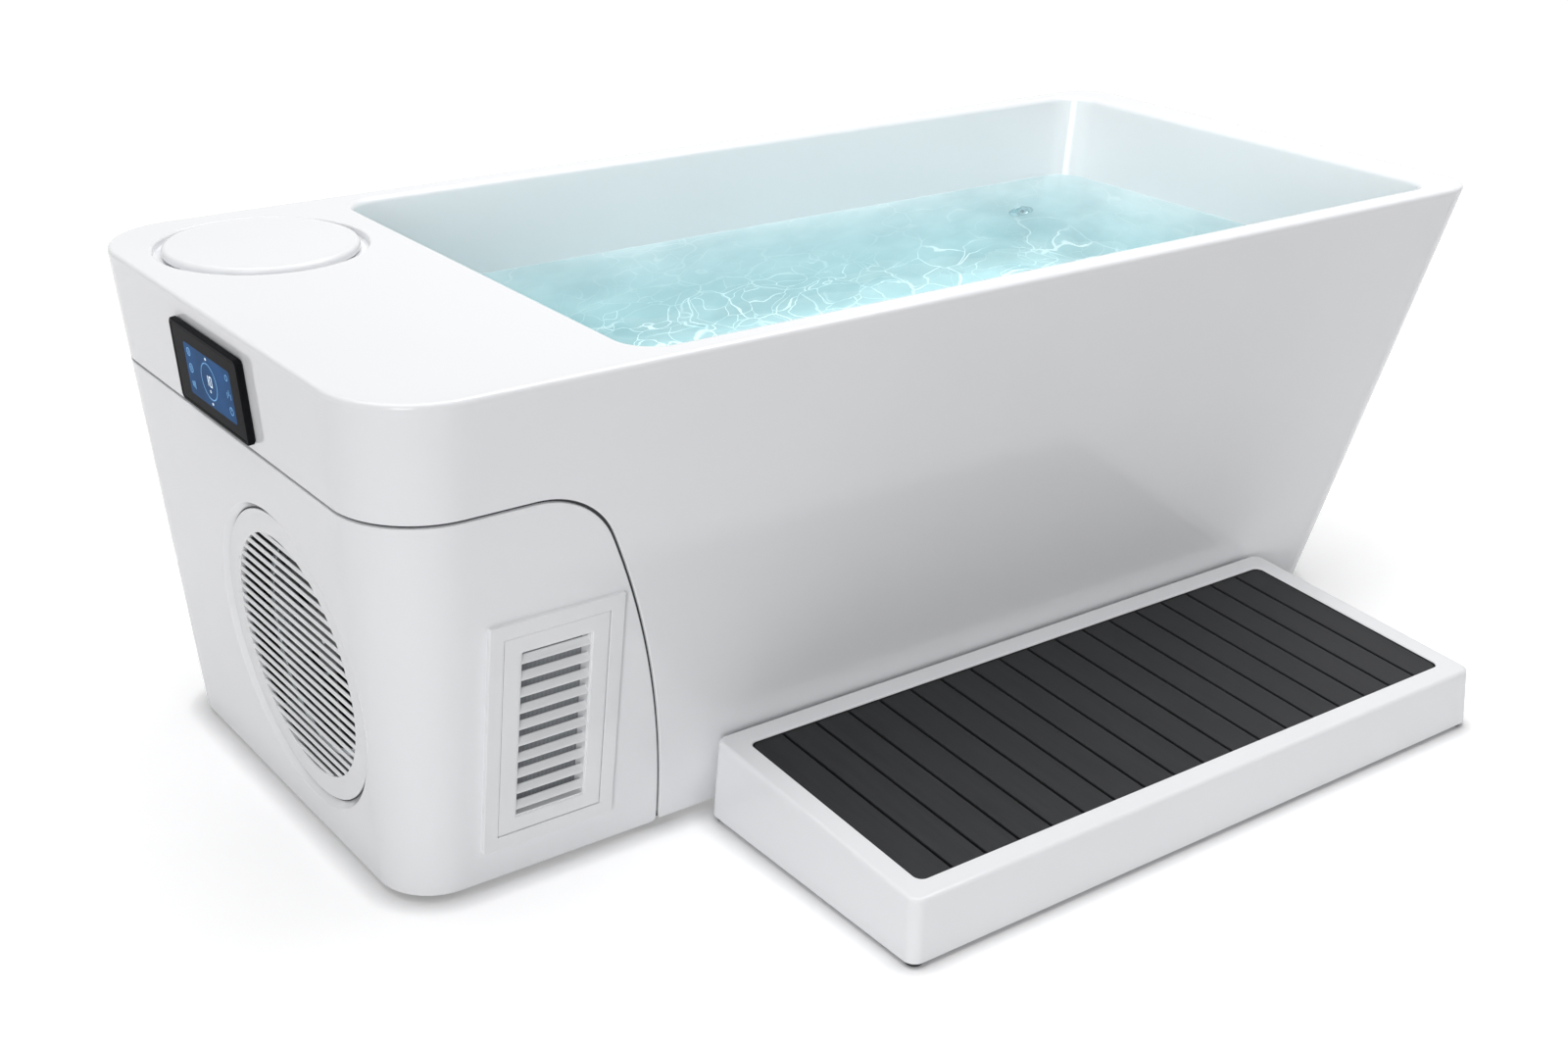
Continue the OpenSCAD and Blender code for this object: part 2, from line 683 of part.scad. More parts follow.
screen_corner = 8;
screen_chamfer = 1;
glass_drop = 0.5;
can_w = screen_w - 40;
can_h = screen_h - 34;
can_t = 34;
module screen_bezel() color("#1b1d20") placed() on_left(tub_mid, screen_z) {
    front = gasket_t + screen_t;
    difference() {
        union() {
            plate(screen_w, screen_h, screen_corner, gasket_t, front - screen_chamfer);
            plate(screen_w - 2 * screen_chamfer, screen_h - 2 * screen_chamfer,
                screen_corner - screen_chamfer, gasket_t, front);
        }
        plate(screen_w - 2 * screen_edge, screen_h - 2 * screen_edge, screen_corner - 3,
            front - glass_t - glass_drop, far);
    }
    plate(can_w, can_h, 3, -can_t, gasket_t);
    translate([0, -can_h / 4, -can_t - 10]) cylinder(r = 9, h = 10);
}

module screen_panel() color("#244a75") placed() on_left(tub_mid, screen_z)
    plate(screen_w - 2 * screen_edge - 0.4, screen_h - 2 * screen_edge - 0.4, screen_corner - 3,
        gasket_t + screen_t - glass_t - glass_drop, gasket_t + screen_t - glass_drop);

module screen_gasket() color(dark) placed() on_left(tub_mid, screen_z) difference() {
    plate(screen_w - 4, screen_h - 4, screen_corner - 2, sliver, gasket_t);
    plate(can_w + 4, can_h + 4, 4, -past, far);
}

box_x = 64;
module control_box() color("#d4d6d8") placed() {
    y = [tub_mid - 185, tub_mid + 65];
    z = tub_h - rim_t - 125;
    box([box_x, box_x + 90], y, [z, tub_h - rim_t - 6]);
    box([box_x - 8, box_x + 98], [y[0] - 8, y[1] + 8], [tub_h - rim_t - 6, tub_h - rim_t]);
    for (x = [1 : 3]) translate([box_x + 23 * x, tub_mid, z - 14]) cylinder(r = 8, h = 14);
}

// Chiller cover with its two grilles

cover_t = skirt_t - lip_gap;
pan_t = 4;
louvre_tilt = 72;
blade_tilt = 60;
stiffener_w = 3;
pan_floor_r = grille_d / 2 + 1;
boss_r = 12;
boss_bore = 22;
module stud_places() for (y = stud_cols, z = stud_rows)
    translate([bulkhead_x, y, z]) rotate([0, -90, 0]) children();
module chiller_cover() color(white) placed() difference() {
    union() {
        intersection() {
            difference() {
                skirt_loft(cover_lift, seam_z + past, 0);
                skirt_loft(cover_lift - past, seam_z + 2 * past, cover_t);
            }
            seam_solid(-seam_gap / 2);
        }
        on_left(grille_y, grille_z) translate([0, 0, -recess_depth - pan_t])
            cylinder(r = recess_d / 2 + 6, h = recess_depth + pan_t - 2);
        intersection() {
            stud_places() cylinder(r = boss_r, h = far);
            skirt_loft(cover_lift, seam_z, 1);
            translate([-far, 0, 0]) cube([bulkhead_x - stud_l / 2 + far, tub_w, tub_h]);
        }
    }
    on_left(grille_y, grille_z) {
        translate([0, 0, -recess_depth]) cylinder(r1 = pan_floor_r, r2 = recess_d / 2, h = recess_depth);
        cylinder(r = recess_d / 2, h = far);
        translate([0, 0, -far]) cylinder(r = louvre_d / 2 + 4, h = far);
    }
    on_front(vent_x, vent_z)
        plate(core_w + 2 * core_gap + 8, core_h + 2 * core_gap + 8, 1, -far / 4, far / 4);
    stud_places() cylinder(r = stud_d / 2 + run_gap, h = stud_l + 2);
}

module fan_grille() color(white) placed() on_left(grille_y, grille_z) translate([0, 0, -recess_depth]) {
    r = louvre_d / 2;
    pitch = louvre_d / louvre_count;
    turned([
        [r, -pan_t], [r + 3.5, -pan_t], [r + 3.5, 0], [grille_d / 2, 0], [grille_d / 2, 2],
        [grille_d / 2 - 1, 3], [r + 1, 3], [r, 2]
    ]);
    intersection() {
        translate([0, 0, -pan_t]) cylinder(r = r + 1, h = far);
        union() {
            for (i = [0 : louvre_count - 1])
                translate([0, (i + 0.5) * pitch - r, 1]) rotate([louvre_tilt, 0, 0])
                box([-r - 1, r + 1], [-louvre_t / 2, louvre_t / 2], [-louvre_w / 2, louvre_w / 2]);
            for (x = [-r / 3, r / 3])
                box([x - stiffener_w / 2, x + stiffener_w / 2], [-r - 1, r + 1], [-pan_t, 0]);
        }
    }
}

pin_x = -core_w / 2 + hinge_d;
pin_z = vent_proud - core_drop - 0.75 * hinge_d;
pin_l = 4;
module pin_places() for (s = [-1, 1])
    translate([pin_x, s * core_h / 2, pin_z]) rotate([-90 * s, 0, 0]) children();
module vent_frame() color(white) placed() on_front(vent_x, vent_z) difference() {
    union() {
        plate(vent_w, vent_h, 2, sliver, vent_proud - 3);
        plate(vent_w - 3, vent_h - 3, 2, sliver, vent_proud - 1);
        plate(vent_w - 10, vent_h - 10, 2, sliver, vent_proud);
        plate(core_w + 2 * core_gap + 7, core_h + 2 * core_gap + 7, 1, -core_t - 6, past);
    }
    plate(core_w + 2 * core_gap, core_h + 2 * core_gap, 0.5, -far, far);
    pin_places() cylinder(d = hinge_d + 2 * run_gap, h = core_gap + pin_l + 1);
}

module vent_core() color(white) placed() on_front(vent_x, vent_z) {
    front = vent_proud - core_drop;
    pitch = field_h / slot_count;
    reach = field_w / 2 + past;
    difference() {
        union() {
            plate(core_w, core_h, 1, front - 9, front);
            plate(field_w + 10, field_h + 10, 2, front - core_t, front);
        }
        plate(field_w, field_h, 1, -far, far);
        plate(field_w + 5, field_h + 5, 1, front - 1.5, far);
    }
    pin_places() translate([0, 0, -3]) cylinder(d = hinge_d, h = core_gap + pin_l + 3);
    for (i = [0 : slot_count - 1])
        translate([0, (i + 0.5) * pitch - field_h / 2, front - blade_w / 2]) rotate([blade_tilt, 0, 0])
            box([-reach, reach], [-blade_t / 2, blade_t / 2], [-blade_w / 2, blade_w / 2]);
}

// Chiller chassis and fan

module chiller_tray() color(steel) placed() {
    x = [frame_x0 + 4, bay_at(tray_top) - 8];
    y = [frame_y0 + 4, frame_y1 - 4];
    box(x, y, [frame_top, tray_top]);
    for (s = [[y[0], y[0] + sheet_t], [y[1] - sheet_t, y[1]]])
        box(x, s, [tray_top - past, tray_top + 18]);
}

module fan_axis(x) translate([x, fan_y, fan_z]) rotate([0, 90, 0]) children();
mouth_l = 32;
module fan_bulkhead() color(steel) placed() {
    difference() {
        union() {
            box([bulkhead_x, bulkhead_x + sheet_t], [bulkhead_w0, bulkhead_w1], [tray_top, bulkhead_top]);
            for (z = [tray_top, bulkhead_top - sheet_t])
                box([bulkhead_x, bulkhead_x + 24], [bulkhead_w0, bulkhead_w1], [z, z + sheet_t]);
        }
        fan_axis(0) cylinder(r = duct_r, h = far);
    }
    fan_axis(bulkhead_x - mouth_l) turned([
        [duct_r, 0], [duct_r + 10, 0], [duct_r + sheet_t, 7], [duct_r + sheet_t, mouth_l + past],
        [duct_r, mouth_l + past]
    ]);
}

module cover_studs() color(steel) placed() stud_places() {
    cylinder(d = stud_head, h = 5);
    cylinder(d = stud_d, h = stud_l - 3);
    translate([0, 0, stud_l - 3]) cylinder(d1 = stud_d, d2 = stud_d - 4, h = 3);
}

module fan_motor() color("#4a4d50") placed() fan_axis(motor_x) difference() {
    union() {
        turned([
            [0, 0], [motor_d / 4, 0], [motor_d / 4, 4], [motor_d / 2 - 4, 4], [motor_d / 2, 8],
            [motor_d / 2, motor_l - 8], [motor_d / 2 - 6, motor_l], [0, motor_l]
        ]);
        for (a = [0 : 30 : 330])
            rotate(a) box([motor_d / 2 - 2, motor_d / 2 + 3], [-1, 1], [10, motor_l - 10]);
    }
    translate([0, 0, -past]) cylinder(d = shaft_d + 2 * run_gap, h = motor_l - 8);
}

module fan_motor_bracket() color(steel) placed() fan_axis(bulkhead_x + sheet_t) {
    arm_in = motor_d / 4 + 0.5;
    ring_z = motor_x - bulkhead_x - sheet_t;
    difference() {
        union() {
            translate([0, 0, ring_z]) cylinder(r = motor_d / 2 - 8, h = 4);
            for (a = [45 : 90 : 315]) rotate(a) box([arm_in, duct_r + 14], [-7, 7], [ring_z, ring_z + 4]);
        }
        translate([0, 0, ring_z - past]) cylinder(r = arm_in, h = far);
        translate([0, 0, ring_z + 4]) cylinder(d = motor_d + 8, h = far);
    }
    for (a = [45 : 90 : 315]) rotate(a) translate([duct_r + 8, 0, 0]) cylinder(r = 6, h = ring_z);
}

module fan_shaft() color(steel) placed() fan_axis(fan_x - 2)
    cylinder(d = shaft_d, h = motor_x + motor_l - 12 - fan_x);

module fan_rotor() color(dark) placed() fan_axis(fan_x) difference() {
    union() {
        turned([[0, 2], [hub_d / 2 - 6, 0], [hub_d / 2, 6], [hub_d / 2, fan_w], [0, fan_w]]);
        intersection() {
            cylinder(d = fan_d, h = fan_w);
            for (i = [0 : fan_blades - 1])
                rotate(i * 360 / fan_blades) translate([0, 0, fan_w / 2]) rotate([24, 0, 0])
                    linear_extrude(3, center = true) polygon(concat(
                        [[hub_d / 2 - 6, -16]], arc([0, 0], fan_d / 2 + 6, -17, 19), [[hub_d / 2 - 6, 18]]
                    ));
        }
    }
    translate([0, 0, -past]) cylinder(d = shaft_d, h = far);
}

// Refrigeration

coil_pitch = 42;
module condenser_coil() color("#c9ced2") placed() {
    x = [condenser_x, condenser_x + condenser_t];
    pitch = (condenser_y[1] - condenser_y[0] - 4) / (fin_count - 1);
    for (y = [condenser_y[0], condenser_y[1] - 4]) box(x, [y, y + 4], [tray_top, condenser_top]);
    for (i = [1 : fin_count - 2]) let (y = condenser_y[0] + 2 + i * pitch)
        box([x[0] + 3, x[1] - 3], [y - 0.8, y + 0.8], [tray_top + 12, condenser_top - 8]);
    for (z = [tray_top + coil_pitch : coil_pitch : condenser_top - coil_pitch / 2],
            c = [x[0] + 14, x[1] - 14])
        translate([c, condenser_y[0] + 1, z]) rotate([-90, 0, 0])
            cylinder(d = copper_d, h = condenser_y[1] - condenser_y[0] - 2);
}

post_r = 5;
module grommet_places() for (a = [90, 210, 330])
    translate([compressor_x, compressor_y, tray_top]) rotate(a)
        translate([compressor_d / 2 + 4, 0, 0]) children();
module compressor() color("#2e3134") placed() {
    r = compressor_d / 2;
    translate([compressor_x, compressor_y, tray_top + grommet_h]) {
        turned([
            [0, 0], [r - 10, 0], [r, 10], [r, compressor_h - 50], [r - 3, compressor_h - 32],
            [r - 14, compressor_h - 12], [r - 26, compressor_h - 2], [r - 32, compressor_h],
            [0, compressor_h]
        ]);
        translate([0, 0, compressor_h / 2]) cylinder(r = r + 2, h = 5);
    }
    translate([0, 0, grommet_h]) difference() {
        union() {
            grommet_places() cylinder(r = 13, h = 4);
            translate([compressor_x, compressor_y, tray_top]) for (a = [90, 210, 330])
                rotate(a) box([0, r + 4], [-13, 13], [0, 4]);
        }
        grommet_places() translate([0, 0, -past]) cylinder(r = post_r + fit_gap, h = far);
    }
}

module compressor_grommets() color("#151618") placed() grommet_places() {
    cylinder(r = 11, h = grommet_h);
    cylinder(r = post_r, h = grommet_h + 6);
}

exchanger_end = [exchanger_x, exchanger_y[0], exchanger_z];
module heat_exchanger() color("#3d4247") placed() translate(exchanger_end) rotate([-90, 0, 0]) {
    l = exchanger_y[1] - exchanger_y[0];
    r = exchanger_d / 2;
    turned([
        [0, 0], [r - 14, 0], [r - 4, 5], [r, 14], [r, l - 14], [r - 4, l - 5], [r - 14, l], [0, l]
    ]);
    translate([0, 0, -port_l]) cylinder(d = hose_d, h = port_l + past);
    translate([0, 0, l - past]) cylinder(d = pipe_d, h = port_l + past);
}

module exchanger_saddles() color(steel) placed() {
    w = exchanger_d / 2 - 12;
    for (y = [exchanger_y[0] + 30, compressor_y - compressor_d / 2 - 22]) difference() {
        union() {
            box([exchanger_x - w, exchanger_x + w], [y, y + 4], [tray_top, exchanger_z]);
            box([exchanger_x - w, exchanger_x + w], [y - 14, y + 4], [tray_top, tray_top + sheet_t]);
        }
        translate([exchanger_x, y - past, exchanger_z]) rotate([-90, 0, 0])
            cylinder(d = exchanger_d, h = far);
    }
}

module refrigerant_lines() color(copper) placed()
    for (line = [discharge_line, liquid_line, vapour_line]) route(line, copper_bend, copper_d);

// Water circuit

module circulation_pump() color("#30383f") placed() {
    r = pump_d / 2;
    translate([pump_x, lid_y, pump_z]) rotate([0, 90, 0]) {
        translate([0, 0, -15]) cylinder(d = pipe_d + 4, h = 16);
        turned([
            [0, 0], [r + 6, 0], [r + 12, 6], [r + 12, volute_w - 6], [r + 6, volute_w], [r, volute_w + 4],
            [r, volute_w + pump_l - 14], [r - 10, volute_w + pump_l], [0, volute_w + pump_l]
        ]);
        for (a = [0 : 30 : 330])
            rotate(a) box([r - 2, r + 4], [-1.5, 1.5], [volute_w + 16, volute_w + pump_l - 22]);
    }
    translate([pump_x + 25, discharge_y, pump_z]) cylinder(d = pipe_d + 4, h = discharge_z - pump_z);
    x = pump_x + volute_w;
    box([x + 20, x + pump_l - 30], [lid_y - 46, lid_y + 46], [tray_top, tray_top + 8]);
    box([x + 30, x + pump_l - 40], [lid_y - 22, lid_y + 22], [tray_top, pump_z - r + 8]);
}

suction_x = bay_at(suction_z) - 8;
suction_flange = 46;
module suction_fitting() color("#dfe2e4") placed() {
    on_deck_wall(lid_y, suction_z) {
        difference() {
            turned([
                [pipe_d / 2 - pipe_wall, 0], [suction_flange, 0], [suction_flange, 3],
                [suction_flange - 10, 11], [0, 13], [0, 9], [pipe_d / 2 - pipe_wall, 9]
            ]);
            for (x = [-16 : 8 : 16]) translate([x, 0, 0]) box([-1.5, 1.5], [-18, 18], [past, far]);
        }
        translate([0, 0, -basin_t - 12]) tube(pipe_d / 2, pipe_d / 2 - pipe_wall, basin_t + 13);
    }
    translate([suction_x, lid_y, suction_z]) rotate([0, 90, 0])
        tube(pipe_d / 2 - 0.5, pipe_d / 2 - pipe_wall, mouth_at(suction_z) - basin_t - suction_x);
}

module filter_pipe() color(white) placed() route(filter_route, elbow_r, pipe_d);
module pressure_pipe() color(white) placed() route(pressure_route, elbow_r, pipe_d);
module return_pipe() color("#8f979d") placed() route(return_route, hose_bend, hose_d);

jet_tail_r = 13;
module return_jet() color("#c9cdd1") placed() {
    on_far_wall(jet_x, jet_z) {
        turned([
            [8, -basin_t], [jet_tail_r, -basin_t], [jet_tail_r, 0], [jet_d / 2, 0], [jet_d / 2, 2],
            [jet_d / 2 - 5, 6], [16, 8], [14, 4], [8, 2]
        ]);
        translate([0, 0, -basin_t - hose_d - 2]) cylinder(r = jet_tail_r + 2, h = hose_d + 2);
        for (a = [0, 90]) rotate(a) box([-14, 14], [-1.5, 1.5], [2, 5]);
    }
    aimed(return_route[7], heading(return_route, 6)) cylinder(d = hose_d - 2, h = 30);
}

drain_tail_r = 22;
drain_rim_r = 36;
plug_stem_r = 5;
plug_stem_l = 20 + plug_lift;
module drain_flange() color("#cfd3d6") placed() translate([drain_x, tub_mid, 0]) {
    turned([
        [drain_tail_r - 3, foam_z - 2], [drain_tail_r, foam_z - 2], [drain_tail_r, floor_z],
        [drain_rim_r, floor_z], [drain_rim_r, floor_z + 1.5], [drain_rim_r - 3, floor_z + 3],
        [drain_tail_r - 3, floor_z + 3]
    ]);
    translate([0, 0, floor_z - 16]) difference() {
        for (a = [0, 60, 120]) rotate(a) box([1 - drain_tail_r, drain_tail_r - 1], [-2, 2], [0, 8]);
        translate([0, 0, -past]) cylinder(r = plug_stem_r + 2, h = far);
    }
    translate([0, 0, floor_z - 16]) tube(plug_stem_r + 4, plug_stem_r + run_gap, 8);
}

plug_z = floor_z + 3 + fit_gap;
module drain_plug() color("#d7dadd") placed() translate([drain_x, tub_mid, plug_z]) turned([
    [0, -plug_stem_l], [plug_stem_r, -plug_stem_l], [plug_stem_r, 0], [drain_rim_r - 8, 0],
    [drain_rim_r - 7, 2], [drain_rim_r - 10, 5], [0, 7]
]);

module drain_pipe() color("#6d747a") placed() {
    route(drain_route, drain_bend, spigot_d);
    translate([drain_x, tub_mid, foam_z - 12]) tube(drain_tail_r + 6, spigot_d / 2 - past, 10);
    on_back(drain_x, spigot_z) cylinder(d = spigot_d + 14, h = 4);
    translate([drain_x, back_at(spigot_z) + collar_seat, spigot_z]) rotate([-90, 0, 0])
        cylinder(d = spigot_d + 8, h = collar_l - collar_seat);
}

gland_x = seam_foot + 70;
gland_r = 10;
module power_gland() color("#202326") placed() on_back(gland_x, spigot_z) {
    translate([0, 0, -skirt_t - 14]) tube(gland_r, gland_r - 4, skirt_t + 15);
    translate([0, 0, -skirt_t - 6]) tube(gland_r + 5, gland_r - 1, 6);
    difference() {
        turned([[0, 0], [gland_r + 5, 0], [gland_r + 5, 8], [gland_r + 2, 16], [gland_r - 2, 22], [0, 22]]);
        translate([0, 0, -past]) cylinder(r = gland_r - 4, h = far);
    }
}

// Step

step_corner = 16;
step_edge = 6;
step_flare = 5;
rib_w = 30;
recess_z = -slat_drop - slat_t - rib_h;
step_half = [step_l / 2 - step_corner, step_depth / 2 - step_corner];
crown_half = [step_half[0], step_depth / cos(step_slope) / 2 - step_corner];
module step_base(inset, z) translate([step_centre[0], step_centre[1], z]) for (x = [-1, 1], y = [-1, 1])
    translate([x * (step_half[0] - inset), y * (step_half[1] - inset), 0]) children();
module step_crown(inset, z) on_step() for (x = [-1, 1], y = [-1, 1])
    translate([x * (crown_half[0] - inset), y * (crown_half[1] - inset), z]) children();
module step_disc(r) translate([0, 0, -step_skin]) cylinder(r = r, h = step_skin, $fn = loft_fn);
step_skin = 0.2;
module step_shell() color(white) placed() {
    difference() {
        hull() {
            step_base(0, step_foot_h + step_skin) step_disc(step_corner);
            step_crown(step_flare, -step_edge) step_disc(step_corner);
            step_crown(step_flare, -0.3 * step_edge) step_disc(step_corner - 0.3 * step_edge);
            step_crown(step_flare, 0) step_disc(step_corner - step_edge);
        }
        hull() {
            step_base(step_t + step_flare, step_foot_h) step_disc(step_corner - step_t);
            step_crown(step_t + step_flare, recess_z - step_t) step_disc(step_corner - step_t);
        }
        on_step() plate(slat_run + 2 * slat_side_gap, slat_depth + 2 * slat_side_gap, slat_corner,
            recess_z, far);
    }
    on_step() for (y = [-slat_depth / 3, 0, slat_depth / 3])
        box([-slat_run / 2, slat_run / 2], [y - rib_w / 2, y + rib_w / 2],
            [recess_z - past, recess_z + rib_h]);
}

module step_slat(i) color(dark) placed() on_step() {
    x = -slat_run / 2 + (i - 1) * slat_pitch;
    w = slat_pitch - slat_gap;
    intersection() {
        plate(slat_run, slat_depth, slat_corner, -slat_drop - slat_t, -slat_drop);
        box([x, x + w], [-slat_depth, slat_depth], [-far, far]);
    }
}

module step_feet() color("#26282a") placed() step_base(0, 0)
    cylinder(r1 = step_corner - 5, r2 = step_corner - 4, h = step_foot_h);

basin_liner();
outer_skirt();
basin_insulation();
base_frame();
levelling_feet();
filter_housing();
filter_cartridge();
filter_lid();
lid_seal();
screen_bezel();
screen_panel();
screen_gasket();
control_box();
chiller_cover();
fan_grille();
vent_frame();
vent_core();
chiller_tray();
fan_bulkhead();
cover_studs();
fan_motor();
fan_motor_bracket();
fan_shaft();
fan_rotor();
condenser_coil();
compressor();
compressor_grommets();
heat_exchanger();
exchanger_saddles();
refrigerant_lines();
circulation_pump();
suction_fitting();
filter_pipe();
pressure_pipe();
return_pipe();
return_jet();
drain_flange();
drain_plug();
drain_pipe();
power_gland();
step_shell();
step_feet();
for (i = [1 : slat_count]) step_slat(i);
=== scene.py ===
"""Looks of a cold plunge tub with a chiller end and a loose slatted step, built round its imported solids.

Sizes are millimetres in the tub's own frame: x from the rim at the chiller end, y from the front rim and z
from the floor, as in the part's source. They become metres in the shared frame when a mesh is made.
"""

import json
import logging
import math
from dataclasses import dataclass
from enum import Enum
from typing import Any, Iterable, Mapping, Sequence

import bmesh
import bpy
import numpy as np
from bpy.types import Material, Mesh, Node, NodeSocket, NodeTree, Object
from mathutils import Matrix


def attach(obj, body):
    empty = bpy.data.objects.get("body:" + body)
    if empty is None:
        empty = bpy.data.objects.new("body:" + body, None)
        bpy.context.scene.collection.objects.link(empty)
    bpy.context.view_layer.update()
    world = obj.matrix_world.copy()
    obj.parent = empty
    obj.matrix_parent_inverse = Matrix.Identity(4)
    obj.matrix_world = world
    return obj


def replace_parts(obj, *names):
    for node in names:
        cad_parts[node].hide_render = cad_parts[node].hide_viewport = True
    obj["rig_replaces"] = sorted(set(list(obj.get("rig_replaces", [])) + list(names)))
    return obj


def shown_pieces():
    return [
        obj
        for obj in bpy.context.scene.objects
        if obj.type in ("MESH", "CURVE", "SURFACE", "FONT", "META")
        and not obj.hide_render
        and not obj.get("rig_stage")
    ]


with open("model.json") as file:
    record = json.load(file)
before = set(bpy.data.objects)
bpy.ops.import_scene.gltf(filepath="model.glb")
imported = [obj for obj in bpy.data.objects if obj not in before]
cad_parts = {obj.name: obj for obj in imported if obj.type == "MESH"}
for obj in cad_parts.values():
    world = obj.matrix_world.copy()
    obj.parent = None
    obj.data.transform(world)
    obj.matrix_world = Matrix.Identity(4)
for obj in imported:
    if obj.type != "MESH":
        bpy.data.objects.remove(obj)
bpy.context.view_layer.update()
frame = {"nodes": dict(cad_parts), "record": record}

LOG = logging.getLogger("plunge_tub")
Array = np.ndarray
Ramp = Sequence[tuple[float, str]]
Rows = Array | Sequence[Sequence[float]]
MM = 1000.0
# at this share of its scale the wave texture gives ribs one pattern size wide, with gaps as wide
RIB_SCALE = 0.159


# ------------------------------------------------------------------------------------------------ finishes


def linear(colour: str) -> tuple[float, float, float, float]:
    """Turns an sRGB hex colour into linear light.

    Args:
        colour: six hex digits after a hash.

    Returns:
        Linear red, green and blue, and an alpha of 1.
    """
    parts = [int(colour[i:i + 2], 16) / 255 for i in (1, 3, 5)]
    r, g, b = (c / 12.92 if c <= 0.04045 else ((c + 0.055) / 1.055) ** 2.4 for c in parts)
    return r, g, b, 1.0


def feed(tree: NodeTree, node: Node, inputs: Mapping[Any, Any]) -> None:
    """Sets a node's inputs, with a link where the value is another node's output.

    Args:
        tree: the node tree.
        node: the node.
        inputs: value or linked output by input name or number.
    """
    for key, value in inputs.items():
        if isinstance(value, NodeSocket):
            tree.links.new(value, node.inputs[key])
        else:
            node.inputs[key].default_value = value


def add_node(tree: NodeTree, kind: str, inputs: Mapping[Any, Any] | None = None,
             ramp: Ramp = (), **settings: Any) -> Node:
    """Adds a node with its settings and links.

    Args:
        tree: the node tree.
        kind: the shader node's type, without its prefix.
        inputs: value or linked output by input name or number.
        ramp: places and hex colours of a colour ramp's stops.
        settings: the node's own properties.

    Returns:
        The new node.
    """
    node = tree.nodes.new(f"ShaderNode{kind}")
    for name, value in settings.items():
        setattr(node, name, value)
    feed(tree, node, inputs or {})
    for number, (place, colour) in enumerate(ramp):
        stops = node.color_ramp.elements
        stop = stops[number] if number < 2 else stops.new(place)
        stop.position, stop.color = place, linear(colour)
    return node


class Pattern(Enum):
    """What the eye finds on a surface when it comes close."""

    MOTTLE = "soft clouds of a moulding"
    STREAKS = "long drawn streaks"
    SPANGLE = "flat crystals of hot-dipped zinc"
    CELLS = "closed cells of a foam"
    RIBS = "even ribs across one direction"


@dataclass(frozen=True)
class Look:
    """What a piece is made of: the material's name and its main colour.

    Each kind of look wires its own shader.
    """

    name: str
    tint: str

    def wire(self, tree: NodeTree, shader: Node) -> None:
        """Sets the shader's inputs."""
        raise NotImplementedError

    def material(self) -> Material:
        """Makes the material once, and gives it again when it is asked for again.

        Returns:
            The material.
        """
        made = bpy.data.materials.get(self.name)
        if not made:
            made = bpy.data.materials.new(self.name)
            made.use_nodes = True
            made.diffuse_color = linear(self.tint)
            self.wire(made.node_tree, made.node_tree.nodes["Principled BSDF"])
        return made


@dataclass(frozen=True)
class Finish(Look):
    """A finish: its colours, its gloss and the pattern that breaks both up.

    The pattern runs from 0 to 1. It carries the colour from shade to tint and the roughness from smooth to
    rough, and a finer noise of the grain's size gives the bump.
    """

    shade: str
    smooth: float
    rough: float
    size_mm: float
    grain_mm: float
    grain_depth_mm: float
    pattern: Pattern = Pattern.MOTTLE
    stretch: tuple[float, float, float] = (1.0, 1.0, 1.0)
    metallic: float = 0.0
    ior: float = 1.5
    sheen: float = 0.0

    def field(self, tree: NodeTree, at: NodeSocket) -> NodeSocket:
        """Gives the pattern's value.

        Args:
            tree: the material's node tree.
            at: the coordinates, already stretched.

        Returns:
            An output from 0 to 1.
        """
        scale = MM / self.size_mm
        if self.pattern in (Pattern.SPANGLE, Pattern.CELLS):
            feature = "F1" if self.pattern is Pattern.SPANGLE else "DISTANCE_TO_EDGE"
            cell = add_node(tree, "TexVoronoi", {"Vector": at, "Scale": scale}, feature=feature)
            if self.pattern is Pattern.CELLS:
                return cell.outputs["Distance"]
            return add_node(tree, "SeparateColor", {"Color": cell.outputs["Color"]}).outputs["Red"]
        if self.pattern is Pattern.RIBS:
            inputs = {"Vector": at, "Scale": scale * RIB_SCALE, "Distortion": 0.3, "Detail": 1.0}
            ribs = add_node(tree, "TexWave", inputs, wave_type="BANDS", bands_direction="X")
            return ribs.outputs["Fac"]
        return add_node(tree, "TexNoise", {"Vector": at, "Scale": scale, "Detail": 3.0}).outputs["Fac"]

    def wire(self, tree: NodeTree, shader: Node) -> None:
        """Wires colour, gloss and bump to the shader.

        Args:
            tree: the material's node tree.
            shader: its shader.
        """
        place = add_node(tree, "TexCoord").outputs["Object"]
        stretched = add_node(tree, "Mapping",
                             {"Vector": place, "Scale": self.stretch}).outputs["Vector"]
        field = self.field(tree, stretched)
        colour = add_node(tree, "ValToRGB", {"Fac": field},
                          ramp=((0.25, self.shade), (0.75, self.tint)))
        gloss = add_node(tree, "MapRange",
                         {"Value": field, "To Min": self.smooth, "To Max": self.rough})
        grain = add_node(tree, "TexNoise",
                         {"Vector": stretched, "Scale": MM / self.grain_mm, "Detail": 2.0})
        bump = add_node(tree, "Bump", {"Strength": 1.0, "Distance": self.grain_depth_mm / MM,
                                       "Height": grain.outputs["Fac"]})
        feed(tree, shader, {"Base Color": colour.outputs["Color"], "Roughness": gloss.outputs["Result"],
                            "Normal": bump.outputs["Normal"], "Metallic": self.metallic,
                            "Sheen Weight": self.sheen} | ({} if self.metallic else {"IOR": self.ior}))


